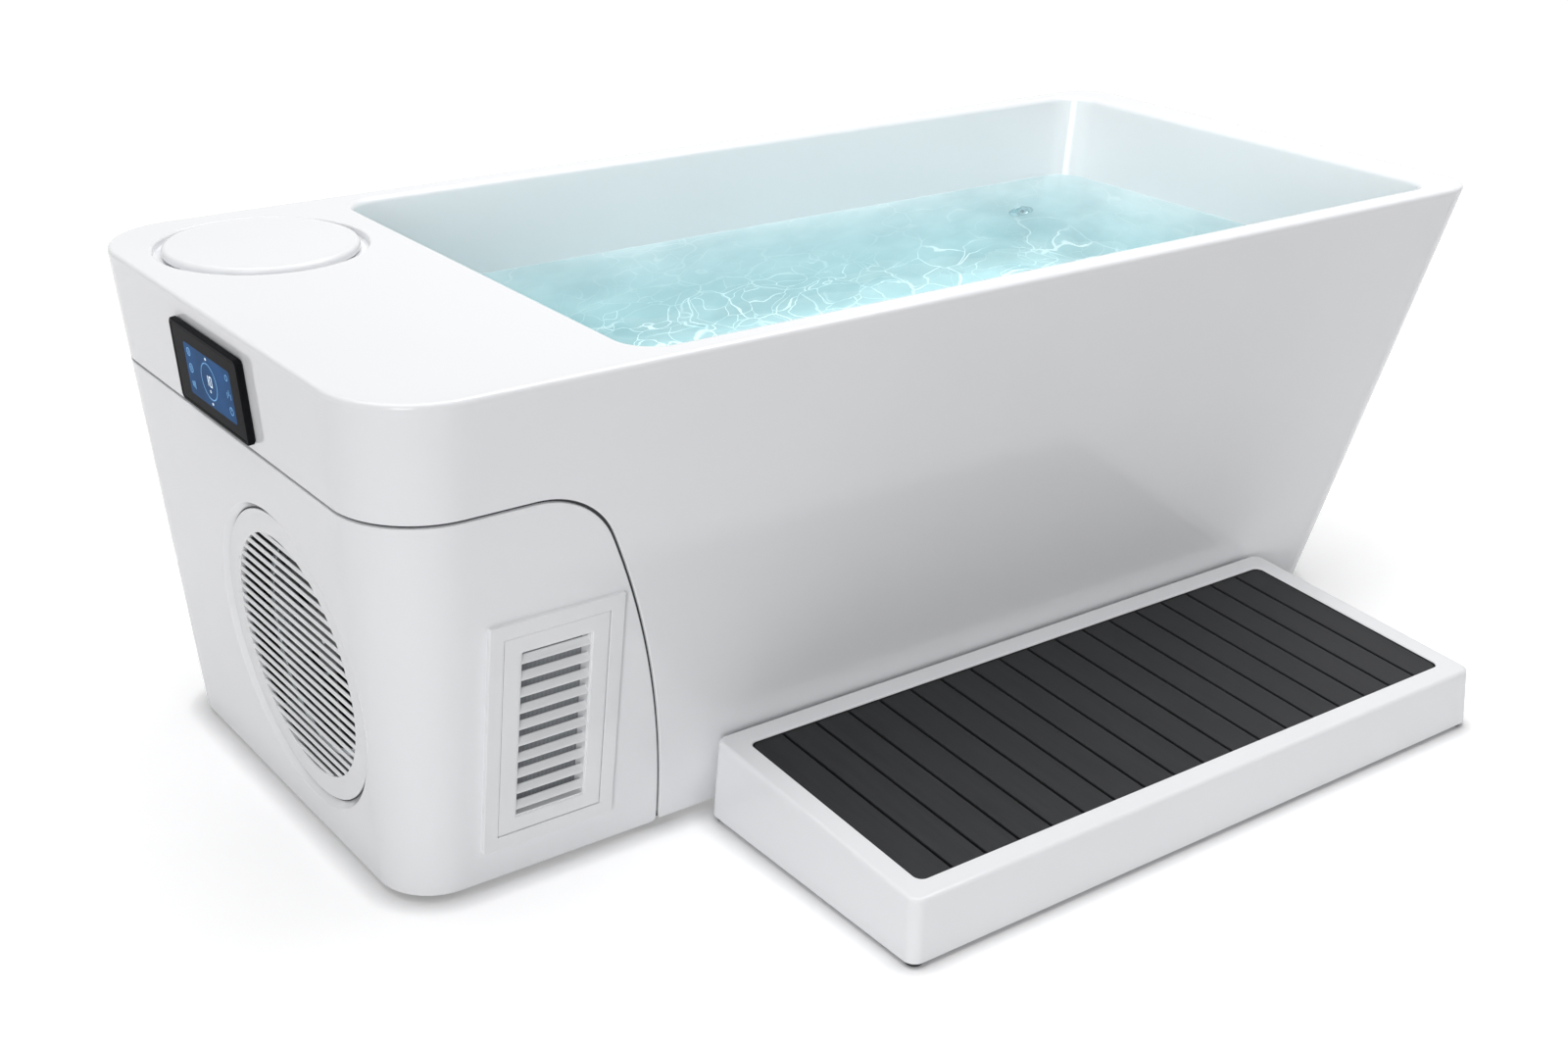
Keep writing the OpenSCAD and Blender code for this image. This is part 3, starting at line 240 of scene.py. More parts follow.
@dataclass(frozen=True)
class AcrylicWithPaintedCaustics(Finish):
    """The basin under water: the same white moulding, clouded with painted ripple shade and crossed by a
    painted net of caustic light that ripples would throw on it.

    The net is where the distance to the edge of a Voronoi cell is small, with the cells' coordinates bent
    by a broad and a fine noise. Broad loops are broken by one noise and fine ones come in patches of
    another. The net is brightest on the floor and fades up the walls.
    """

    net_mm: float = 120.0
    fine_share: float = 0.47
    line: float = 0.027
    fine_line: float = 0.0216
    bend_mm: tuple[float, float] = (240.0, 160.0)
    curl_mm: tuple[float, float] = (75.0, 70.0)
    patch: tuple[float, float] = (120.0, 0.40)
    fine_patch: tuple[float, float] = (330.0, 0.42)
    patch_full: float = 0.62
    glow: float = 1.0
    glow_tint: str = "#ffe1dd"
    fade_mm: tuple[float, float] = (160.0, 340.0)

    def net(self, tree: NodeTree) -> NodeSocket:
        """Draws the painted net of caustic light.

        Args:
            tree: the material's node tree.

        Returns:
            The output of its strength.
        """
        place = add_node(tree, "TexCoord").outputs["Object"]
        at = place
        for (size, push), detail in ((self.bend_mm, 2.0), (self.curl_mm, 1.0)):
            noise = add_node(tree, "TexNoise", {"Vector": place, "Scale": MM / size, "Detail": detail})
            at = add_node(tree, "VectorMath", {0: noise.outputs["Color"], 1: [push / MM] * 3, 2: at},
                          operation="MULTIPLY_ADD").outputs["Vector"]
        kinds = ((self.net_mm, self.line, *self.patch),
                 (self.net_mm * self.fine_share, self.fine_line, *self.fine_patch))
        nets = []
        for size, line, patch_mm, sparse in kinds:
            cell = add_node(tree, "TexVoronoi", {"Vector": at, "Scale": MM / size},
                            feature="DISTANCE_TO_EDGE")
            near = add_node(tree, "MapRange", {"Value": cell.outputs["Distance"], "From Max": line,
                                               "To Min": 1.0, "To Max": 0.0},
                            interpolation_type="SMOOTHERSTEP")
            patch = add_node(tree, "TexNoise", {"Vector": place, "Scale": MM / patch_mm, "Detail": 1.0})
            mask = add_node(tree, "MapRange", {"Value": patch.outputs["Fac"], "From Min": sparse,
                                               "From Max": self.patch_full})
            nets.append(add_node(tree, "Math", {0: near.outputs["Result"], 1: mask.outputs["Result"]},
                                 operation="MULTIPLY").outputs["Value"])
        both = add_node(tree, "Math", {0: nets[0], 1: nets[1]}, operation="MAXIMUM").outputs["Value"]
        up = add_node(tree, "SeparateXYZ", {"Vector": place}).outputs["Z"]
        low, high = self.fade_mm
        deeper = add_node(tree, "MapRange", {"Value": up, "From Min": low / MM, "From Max": high / MM,
                                             "To Min": self.glow, "To Max": self.glow * 0.1})
        return add_node(tree, "Math", {0: both, 1: deeper.outputs["Result"]},
                        operation="MULTIPLY").outputs["Value"]

    def wire(self, tree: NodeTree, shader: Node) -> None:
        """Wires the white with its painted ripple shade, and the painted caustic net as a warm glow that the
        water's blue turns white.
        """
        Finish.wire(self, tree, shader)
        # painted caustic light: a glow where the ripples would gather the lamps' light
        feed(tree, shader, {"Emission Color": linear(self.glow_tint), "Emission Strength": self.net(tree)})


@dataclass(frozen=True)
class ClearWater(Look):
    """Cold clean water.

    It bends the sight line, mirrors the room at low angles and takes the red out with depth.
    """

    density: float = 0.75
    ripple_mm: float = 55.0
    ripple_depth_mm: float = 0.6
    ior: float = 1.333

    def wire(self, tree: NodeTree, shader: Node) -> None:
        """Wires a smooth refracting surface that lets lamplight down, over an even absorption.

        Args:
            tree: the material's node tree.
            shader: its shader.
        """
        place = add_node(tree, "TexCoord").outputs["Object"]
        ripple = add_node(tree, "TexNoise",
                          {"Vector": place, "Scale": MM / self.ripple_mm, "Detail": 1.5})
        bump = add_node(tree, "Bump", {"Strength": 1.0, "Distance": self.ripple_depth_mm / MM,
                                       "Height": ripple.outputs["Fac"]})
        feed(tree, shader, {"Normal": bump.outputs["Normal"], "Base Color": linear("#ffffff"),
                            "Roughness": 0.0, "IOR": self.ior, "Transmission Weight": 1.0})
        depth = add_node(tree, "VolumeAbsorption",
                         {"Color": linear(self.tint), "Density": self.density})
        shadow = add_node(tree, "LightPath").outputs["Is Shadow Ray"]
        clear = add_node(tree, "BsdfTransparent").outputs["BSDF"]
        both = add_node(tree, "MixShader", {0: shadow, 1: shader.outputs["BSDF"], 2: clear})
        feed(tree, tree.nodes["Material Output"],
             {"Surface": both.outputs["Shader"], "Volume": depth.outputs["Volume"]})


@dataclass(frozen=True)
class LitGlass(Look):
    """A lit display behind glass: an even glow with the faint bands of its backlight."""

    shade: str
    glow: float
    band_mm: float = 60.0

    def wire(self, tree: NodeTree, shader: Node) -> None:
        """Wires colour and glow to one cloudy ramp.

        Args:
            tree: the material's node tree.
            shader: its shader.
        """
        place = add_node(tree, "TexCoord").outputs["Object"]
        cloud = add_node(tree, "TexNoise", {"Vector": place, "Scale": MM / self.band_mm, "Detail": 1.0})
        colour = add_node(tree, "ValToRGB", {"Fac": cloud.outputs["Fac"]},
                          ramp=((0.3, self.shade), (0.7, self.tint))).outputs["Color"]
        feed(tree, shader, {"Base Color": colour, "Emission Color": colour, "Emission Strength": self.glow,
                            "Roughness": 0.2, "IOR": 1.05})


# Vacuum-formed acrylic, polished by its mould: deep even white, a soft-edged gloss and a slow waviness.
ACRYLIC = Finish("vacuum_formed_white_acrylic", "#f3f4f6", "#f0f1f3", 0.07, 0.12, 420, 90, 0.020, ior=1.36)
# The same acrylic under the water: a little greyer, clouded with painted ripple shade and crossed by a
# painted net of caustic light.
WET_ACRYLIC_PAINTED_CAUSTICS = AcrylicWithPaintedCaustics("white_acrylic_with_painted_caustics", "#e8eced", "#c2ced1", 0.10, 0.17, 150, 70, 0.02)
# The basin's own acrylic, polished where hands and eyes come close: it throws clear streaks at its corners.
BASIN_ACRYLIC = Finish("polished_white_acrylic", "#f3f4f6", "#f0f1f3", 0.07, 0.11, 420, 90, 0.03, ior=1.46)
# Injection-moulded ABS with a fine spark-eroded skin: a matter white whose gloss breaks up at the edges.
WHITE_ABS = Finish("moulded_white_abs", "#f1f2f3", "#eaebed", 0.24, 0.36, 160, 1.6, 0.03)
# The same plastic in pale and in mid grey, for housings that nobody looks at: duller, with a coarser skin.
PALE_ABS = Finish("moulded_pale_grey_abs", "#d9dcdf", "#d0d4d8", 0.30, 0.44, 160, 1.4, 0.04)
GREY_ABS = Finish("moulded_grey_abs", "#d2d4d6", "#c6c9cc", 0.34, 0.48, 160, 1.4, 0.05)
# Extruded wood-plastic composite, brushed lengthways: near black, with long pale fibres and a silky sheen.
SLAT = Finish("brushed_wood_plastic_composite", "#2b2c2e", "#212224", 0.42, 0.58, 9, 2.2, 0.10,
              Pattern.STREAKS, stretch=(1.0, 0.045, 1.0), ior=1.28)
# Moulded black polycarbonate: satin, with soft grey lights along its edges.
BEZEL = Finish("moulded_black_polycarbonate", "#1d1e20", "#151618", 0.30, 0.42, 60, 0.9, 0.02, ior=1.06)
# Float glass printed black behind, with an anti-glare skin: a deep black that hardly mirrors the floor.
GLASS = Finish("anti_glare_printed_glass", "#1f2022", "#191a1c", 0.16, 0.24, 90, 60, 0.01, ior=1.05)
# Moulded EPDM and nitrile rubber: chalky black that takes no clear reflection.
RUBBER = Finish("moulded_black_rubber", "#2c2e30", "#202224", 0.62, 0.78, 18, 1.2, 0.06)
# Closed-cell sealing tape on the lip: its dark grey is painted shade that turns the seam's gap into a fine
# dark line.
SEAM_SHADE_TAPE = Finish("sealing_tape_painted_seam_shade", "#4a4c4e", "#3b3d3f", 0.80, 0.90, 6, 1.0, 0.05)
# Sprayed polyurethane foam: buff, with its cells cut open.
FOAM = Finish("sprayed_polyurethane_foam", "#ece2bd", "#d3c594", 0.80, 0.92, 7, 3.0, 0.60, Pattern.CELLS)
# Welded steel tube under polyester powder coat: dark grey with a fine orange peel.
COATED_STEEL = Finish("powder_coated_steel", "#5b6064", "#4f5357", 0.38, 0.52, 45, 2.4, 0.06)
# The exchanger's vessel, powder coated too: darker and a little smoother.
EXCHANGER_COAT = Finish("powder_coated_titanium_vessel", "#474c51", "#3a3f44", 0.32, 0.46, 60, 2.4, 0.06)
# Dipped black lacquer on pressed steel: smooth, with soft grey lights on every round.
MOTOR_COAT = Finish("black_lacquered_steel", "#36393c", "#2a2d2f", 0.26, 0.40, 50, 2.0, 0.04)
# Spun polyester folded into pleats: soft white fibre with faint grey in the valleys.
FABRIC = Finish("spun_polyester_pleats", "#f3f4f4", "#dfe3e6", 0.80, 0.92, 5, 1.0, 0.08, sheen=0.2)
# Woven polyester dust screen behind the vent, drawn coarser than its real threads: a dull even grey that is
# painted shade between the blades.
SCREEN_CLOTH_GAP_SHADE = Finish("polyester_screen_painted_gap_shade", "#8e9194", "#85888b", 0.80, 0.90, 3, 1.5, 0.03,
                      Pattern.RIBS)
# Hot-dipped sheet: flat zinc crystals, each with its own grey.
GALVANISED = Finish("hot_dipped_galvanised_sheet", "#c4c9cd", "#a2a8ad", 0.30, 0.46, 14, 5.0, 0.02,
                    Pattern.SPANGLE, metallic=1.0)
# Turned stainless bar: bright with drawn lines.
STAINLESS = Finish("turned_stainless_bar", "#d4d7da", "#bcc1c5", 0.20, 0.32, 3, 1.0, 0.01, Pattern.STREAKS,
                   stretch=(0.05, 1.0, 1.0), metallic=1.0)
# Glass-filled nylon, moulded: dark, with swirls of fibre at the surface.
FAN_PLASTIC = Finish("glass_filled_nylon", "#3f4144", "#303235", 0.40, 0.58, 22, 1.2, 0.05)
# Glass-filled polypropylene: the same dry swirls in a blue-grey.
PUMP_PLASTIC = Finish("glass_filled_polypropylene", "#3a434a", "#2c343a", 0.36, 0.52, 26, 1.2, 0.05)
# Thin rolled fins: pale metal with the lines of the roller.
FINS = Finish("rolled_aluminium_fins", "#d6dade", "#b6bcc1", 0.30, 0.46, 2.2, 1.0, 0.02, Pattern.RIBS,
              stretch=(0.0, 0.0, 1.0), metallic=1.0)
# Drawn copper tube: warm, with brown clouds where it was brazed.
COPPER = Finish("drawn_copper_tube", "#c9855c", "#9d5f3d", 0.24, 0.42, 34, 2.0, 0.02, metallic=1.0)
# Extruded white PVC pipe: cool white, satin.
PVC = Finish("extruded_white_pvc", "#eceef0", "#e0e3e6", 0.30, 0.42, 80, 1.8, 0.03)
# PVC hose with a spiral rib under a smooth skin.
HOSE = Finish("spiral_rib_pvc_hose", "#a0a8ae", "#7f878d", 0.36, 0.50, 9, 1.4, 0.20, Pattern.RIBS)
# Electroplated chrome on brass: a clear cool mirror.
CHROME = Finish("chrome_plated_brass", "#dfe3e6", "#cdd2d6", 0.05, 0.11, 26, 20, 0.01, metallic=1.0)
# Moulded nylon: black and satin, a shade deeper than the bezel.
GLAND_NYLON = Finish("moulded_black_nylon", "#26292c", "#1b1d1f", 0.36, 0.50, 20, 1.0, 0.03)
# Clean cold water: clear from above and turquoise where the sight line runs long.
WATER = ClearWater("clear_cold_water", "#82e7ec")
# The display's layers, lit from behind: deep blue, a pale blue ring and near-white figures.
DISPLAY = LitGlass("lit_blue_display", "#244c7a", "#1e4066", 0.45)
RING_LIGHT = LitGlass("lit_pale_blue_ring", "#74a9d6", "#6598c6", 0.5)
FIGURE_LIGHT = LitGlass("lit_white_figures", "#e6f0f8", "#d0e2f0", 0.6)

SLOT_FINISH: dict[str, Finish] = {
    "acrylic_basin": BASIN_ACRYLIC, "acrylic_skirt": ACRYLIC, "acrylic_lid": ACRYLIC,
    "acrylic_cover": ACRYLIC, "acrylic_step": ACRYLIC, "white_abs": WHITE_ABS, "slat_composite": SLAT,
    "bezel_black": BEZEL, "screen_glass": GLASS, "seal_rubber": RUBBER, "foot_rubber": RUBBER, "foam": FOAM,
    "coated_steel": COATED_STEEL, "pale_abs": PALE_ABS, "grey_abs": GREY_ABS, "filter_fabric": FABRIC,
    "galvanised": GALVANISED, "stainless": STAINLESS, "motor_coat": MOTOR_COAT,
    "exchanger_coat": EXCHANGER_COAT, "fan_plastic": FAN_PLASTIC, "fin_aluminium": FINS, "copper": COPPER,
    "pump_plastic": PUMP_PLASTIC, "white_pvc": PVC, "hose_pvc": HOSE, "chrome": CHROME,
    "gland_nylon": GLAND_NYLON,
}


# ------------------------------------------------------------------------------------------------ surfaces


def arc(centre: tuple[float, float], radius: float, start: float, stop: float, count: int) -> Array:
    """Points of an arc: the centre plus the radius times the cosine and sine of each angle.

    Args:
        centre: the arc's middle.
        radius: its radius.
        start: first angle in degrees.
        stop: last angle in degrees.
        count: number of points.

    Returns:
        An array of points, count by 2.
    """
    angle = np.radians(np.linspace(start, stop, count))
    return np.stack([centre[0] + radius * np.cos(angle), centre[1] + radius * np.sin(angle)], -1)


def cos_sin(degrees: float) -> tuple[float, float]:
    """Cosine and sine of an angle in degrees."""
    return math.cos(math.radians(degrees)), math.sin(math.radians(degrees))


def unit(vectors: Array) -> Array:
    """Vectors divided by their lengths."""
    return vectors / np.maximum(np.linalg.norm(vectors, axis=-1, keepdims=True), 1e-9)


def tangents(points: Array, closed: bool) -> Array:
    """Directions of a line of points: each next point less the one before.

    Args:
        points: the line, n by 3.
        closed: whether the last point joins the first.

    Returns:
        Unit directions, n by 3.
    """
    if closed:
        return unit(np.roll(points, -1, 0) - np.roll(points, 1, 0))
    return unit(np.gradient(points, axis=0))


@dataclass(frozen=True)
class Place:
    """A local frame: an origin and three unit axes, in the tub's millimetres."""

    origin: tuple[float, float, float]
    x: tuple[float, float, float] = (1.0, 0.0, 0.0)
    y: tuple[float, float, float] = (0.0, 1.0, 0.0)
    z: tuple[float, float, float] = (0.0, 0.0, 1.0)

    def at(self, local: Array) -> Array:
        """Local points in the tub's frame: origin plus each coordinate times its axis."""
        return np.asarray(self.origin) + local @ np.array([self.x, self.y, self.z])

    def moved(self, x: float = 0.0, y: float = 0.0, z: float = 0.0) -> "Place":
        """The same axes at another local point."""
        return Place(tuple(self.at(np.array([x, y, z]))), self.x, self.y, self.z)


@dataclass
class Sheet:
    """A grid of points, rows by columns by 3, joined into quads and closed round where asked."""

    points: Array
    round_rows: bool = False
    round_cols: bool = True

    def quads(self, start: int) -> Array:
        """Corner numbers of the quads.

        Args:
            start: the number of the grid's first point.

        Returns:
            Whole numbers, quads by 4.
        """
        index = np.arange(self.points[..., 0].size).reshape(self.points.shape[:2]) + start
        index = np.vstack([index, index[:1]]) if self.round_rows else index
        index = np.hstack([index, index[:, :1]]) if self.round_cols else index
        return np.stack([index[:-1, :-1], index[:-1, 1:], index[1:, 1:], index[1:, :-1]], -1).reshape(-1, 4)


@dataclass(frozen=True)
class Columns:
    """How points are spread round a rounded rectangle.

    They are fractions along its long and short sides, and angles in its corners. The round starts at the
    right end of the back, and runs along the back to the left, down the left end, along the front to the
    right and up the right end.
    """

    long: Array
    short: Array
    turn: Array

    @staticmethod
    def even(long: int = 2, short: int = 2, turn: int = 8) -> "Columns":
        """Evenly spread columns."""
        return Columns(np.linspace(0, 1, long + 1), np.linspace(0, 1, short + 1),
                       np.linspace(0, np.pi / 2, turn + 1)[:-1])

    def rings(self, levels: Array) -> Array:
        """Rounded rectangles, one for each level.

        Each side runs straight between the ends of its corners, and each corner is a quarter circle.

        Args:
            levels: rows of z, left, front, right, back, left corner radius and right corner radius.

        Returns:
            Points, levels by columns by 3.
        """
        z, x0, y0, x1, y1, rl, rr = (levels[:, i:i + 1] for i in range(7))
        ahead, back = self.long[None, :-1], self.long[None, ::-1][:, :-1]
        up, down = self.short[None, :-1], self.short[None, ::-1][:, :-1]
        quarter = np.pi / 2
        cos = [np.cos(quarter * i + self.turn)[None] for i in range(4)]
        sin = [np.sin(quarter * i + self.turn)[None] for i in range(4)]
        long_x = (x0 + rl) + (x1 - rr - x0 - rl) * np.hstack([back, ahead])
        n = back.shape[1]
        ones = np.ones_like
        xs = [long_x[:, :n], x0 + rl + rl * cos[1], x0 * ones(down), x0 + rl + rl * cos[2], long_x[:, n:],
              x1 - rr + rr * cos[3], x1 * ones(up), x1 - rr + rr * cos[0]]
        ys = [y1 * ones(back), y1 - rl + rl * sin[1], y0 + rl + (y1 - y0 - 2 * rl) * down,
              y0 + rl + rl * sin[2], y0 * ones(ahead), y0 + rr + rr * sin[3],
              y0 + rr + (y1 - y0 - 2 * rr) * up, y1 - rr + rr * sin[0]]
        x, y = np.hstack(xs), np.hstack(ys)
        return np.stack([x, y, z * ones(x)], -1)


def loft(place: Place, rows: Rows, closed: bool = False, turn: int = 6) -> Sheet:
    """A profile carried round rounded rectangles.

    Args:
        place: the frame that the rectangles lie in.
        rows: half width, half height, corner radius and height of each rectangle.
        closed: whether the last rectangle joins the first, as in a frame.
        turn: steps in each corner.

    Returns:
        The sheet, one row for each rectangle.
    """
    w, h, r, z = np.asarray(rows, float).T
    rings = Columns.even(1, 1, turn).rings(np.stack([z, -w, -h, w, h, r, r], -1))
    return Sheet(place.at(rings), round_rows=closed)


def turned(place: Place, profile: Rows, closed: bool = False, count: int = 96) -> Sheet:
    """A profile of radius and height turned round the frame's z axis.

    Args:
        place: the frame.
        profile: rows of radius and height.
        closed: whether the last row joins the first.
        count: points in a turn.

    Returns:
        The sheet, one row for each profile point.
    """
    r, h = np.asarray(profile, float).T[:, :, None]
    a = np.linspace(0, 2 * np.pi, count, endpoint=False)[None]
    points = np.stack([r * np.cos(a), r * np.sin(a), h * np.ones_like(a)], -1)
    return Sheet(place.at(points), round_rows=closed)


def eased(wide: float, high: float, corner: float, top: float, radius: float, count: int = 6,
          inside: bool = False, follow: bool = False) -> Array:
    """Rows for loft of the quarter round between a wall and the face on top of it.

    Args:
        wide: half width of the wall.
        high: its half height.
        corner: its corner radius.
        top: the face's height.
        radius: the round's radius.
        count: number of rows.
        inside: whether the wall is a hole's, so that the rows start on the face and run down into it.
        follow: whether the corner's radius changes with the round.

    Returns:
        Rows of half width, half height, corner radius and height.
    """
    r, z = arc((0.0, top - radius), radius, *((90, 0) if inside else (0, 90)), count).T
    grow = radius - r if inside else r - radius
    return np.stack([wide + grow, high + grow, corner + follow * grow, z], -1)


def block(place: Place, wide: float, high: float, corner: float, span: tuple[float, float],
          turn: int = 6) -> Sheet:
    """A plate, bar or cutter: one rounded rectangle carried from one height to another.

    Args:
        place: the frame.
        wide: size along the frame's x.
        high: size along its y.
        corner: corner radius.
        span: the two heights.
        turn: steps in each corner.

    Returns:
        The sheet, open at both ends.
    """
    return loft(place, [(wide / 2, high / 2, corner, z) for z in span], turn=turn)


def disc(place: Place, radius: float, span: tuple[float, float], count: int = 96) -> Sheet:
    """A closed cylinder to cut with.

    Args:
        place: the frame whose z axis it stands on.
        radius: its radius.
        span: its two heights.
        count: points in a turn.

    Returns:
        The sheet.
    """
    low, high = span
    return turned(place, [(0, low), (radius, low), (radius, high), (0, high)], count=count)


def pole(ring: Array) -> Array:
    """One row that draws a ring in to its middle and so closes a sheet."""
    return np.ones_like(ring[None]) * ring.mean(0)


def bars(place: Place, section: Array, middles: Array, tilt: float, half: Array) -> list[Sheet]:
    """Straight bars along the frame's x axis, one above the other.

    The section is turned by the tilt and moved to each middle. Each of its points runs from minus to plus
    its half length.

    Args:
        place: the frame.
        section: points across a bar, n by 2.
        middles: places of the bars in the frame's y and z, bars by 2.
        tilt: turn of the section in degrees.
        half: half lengths, bars by n.

    Returns:
        One sheet for each bar, open at both ends.
    """
    c, s = cos_sin(tilt)
    cut = middles[:, None] + section @ np.array([[c, s], [-s, c]])
    ends = np.stack([np.concatenate([x[..., None], cut], -1) for x in (-half, half)], 1)
    return [Sheet(place.at(bar)) for bar in ends]


def rounded_section(thick: float, wide: float, edge: float) -> Array:
    """Points round a rectangle with rounded corners, for a blade or bar.

    Args:
        thick: size along x.
        wide: size along y.
        edge: corner radius.

    Returns:
        Points about the middle, 20 by 2.
    """
    x, y = thick / 2 - edge, wide / 2 - edge
    corners = [arc((sx * x, sy * y), edge, start, start + 90, 5)
               for sx, sy, start in ((1, 1, 0), (-1, 1, 90), (-1, -1, 180), (1, -1, 270))]
    return np.concatenate(corners)


# ------------------------------------------------------------------------------------------------ pieces


@dataclass(frozen=True)
class Walls:
    """The tub's sloping walls, which every piece on it is set out from."""

    length: float = 1933.85
    width: float = 890.0
    height: float = 700.0
    rim_foot: float = 690.0
    slope_left: float = 4.6
    slope_side: float = 7.5
    slope_right: float = 12.0
    rim_corners: tuple[float, float] = (122.0, 71.0)
    base_corners: tuple[float, float] = (76.0, 140.0)
    lift: float = 13.0
    deck: float = 372.0
    rim_side: float = 40.0
    rim_right: float = 74.0
    basin_slope: float = 4.5
    floor: float = 130.0
    floor_round: float = 40.0
    mouth_corner: float = 50.0
    floor_corner: float = 75.0

    def left(self, z: Array | float) -> Array | float:
        """x of the chiller end at a height."""
        return (self.height - z) * math.tan(math.radians(self.slope_left))

    def front(self, z: Array | float) -> Array | float:
        """y of the front at a height."""
        return (self.height - z) * math.tan(math.radians(self.slope_side))

    def right(self, z: Array | float) -> Array | float:
        """x of the foot end at a height."""
        return self.length - (self.height - z) * math.tan(math.radians(self.slope_right))

    def mouth(self, z: Array | float) -> Array | float:
        """x of the basin's wall beside the deck at a height."""
        return self.deck + (self.height - z) * math.tan(math.radians(self.basin_slope))

    def skirt_levels(self, z: Array | float, inset: Array | float) -> Array:
        """Rows for Columns.rings of the outer walls; corner radii blend evenly from rim to base.

        Args:
            z: heights.
            inset: distance that the walls are moved in.

        Returns:
            Rows of z, left, front, right, back and two radii.
        """
        z, inset = np.broadcast_arrays(np.atleast_1d(np.asarray(z, float)), np.asarray(inset, float))
        share = (self.height - z) / (self.height - self.lift)
        radii = [a + (b - a) * share - inset for a, b in zip(self.rim_corners, self.base_corners)]
        return np.stack([z, self.left(z) + inset, self.front(z) + inset, self.right(z) - inset,
                         self.width - self.front(z) - inset, *radii], -1)

    def basin_levels(self, z: Array | float, grow: Array | float) -> Array:
        """Rows for Columns.rings of the basin's inner walls; the corner radius grows evenly to the floor.

        Args:
            z: heights.
            grow: distance that the walls are moved out.

        Returns:
            Rows of z, left, front, right, back and two radii.
        """
        z, grow = np.broadcast_arrays(np.atleast_1d(np.asarray(z, float)), np.asarray(grow, float))
        share = (self.height - z) / (self.height - self.floor)
        radius = self.mouth_corner + (self.floor_corner - self.mouth_corner) * share + grow
        side = self.rim_side + self.front(z) - grow
        return np.stack([z, self.mouth(z) - grow, side, self.right(z) - self.rim_right + grow,
                         self.width - side, radius, radius], -1)

    def on_left(self, y: float, z: float) -> Place:
        """Frame on the chiller end, x to the right and z out of the wall."""
        c, s = cos_sin(self.slope_left)
        return Place((self.left(z), y, z), (0, -1, 0), (-s, 0, c), (-c, 0, -s))

    def on_front(self, x: float, z: float) -> Place:
        """Frame on the front, x to the right and z out of the wall."""
        c, s = cos_sin(self.slope_side)
        return Place((x, self.front(z), z), (1, 0, 0), (0, -s, c), (0, -c, -s))

    def on_far_wall(self, x: float, z: float) -> Place:
        """Frame on the basin's far wall, z into the basin."""
        c, s = cos_sin(self.slope_side)
        return Place((x, self.width - self.rim_side - self.front(z), z), (1, 0, 0), (0, s, c), (0, -c, s))


WALLS = Walls()


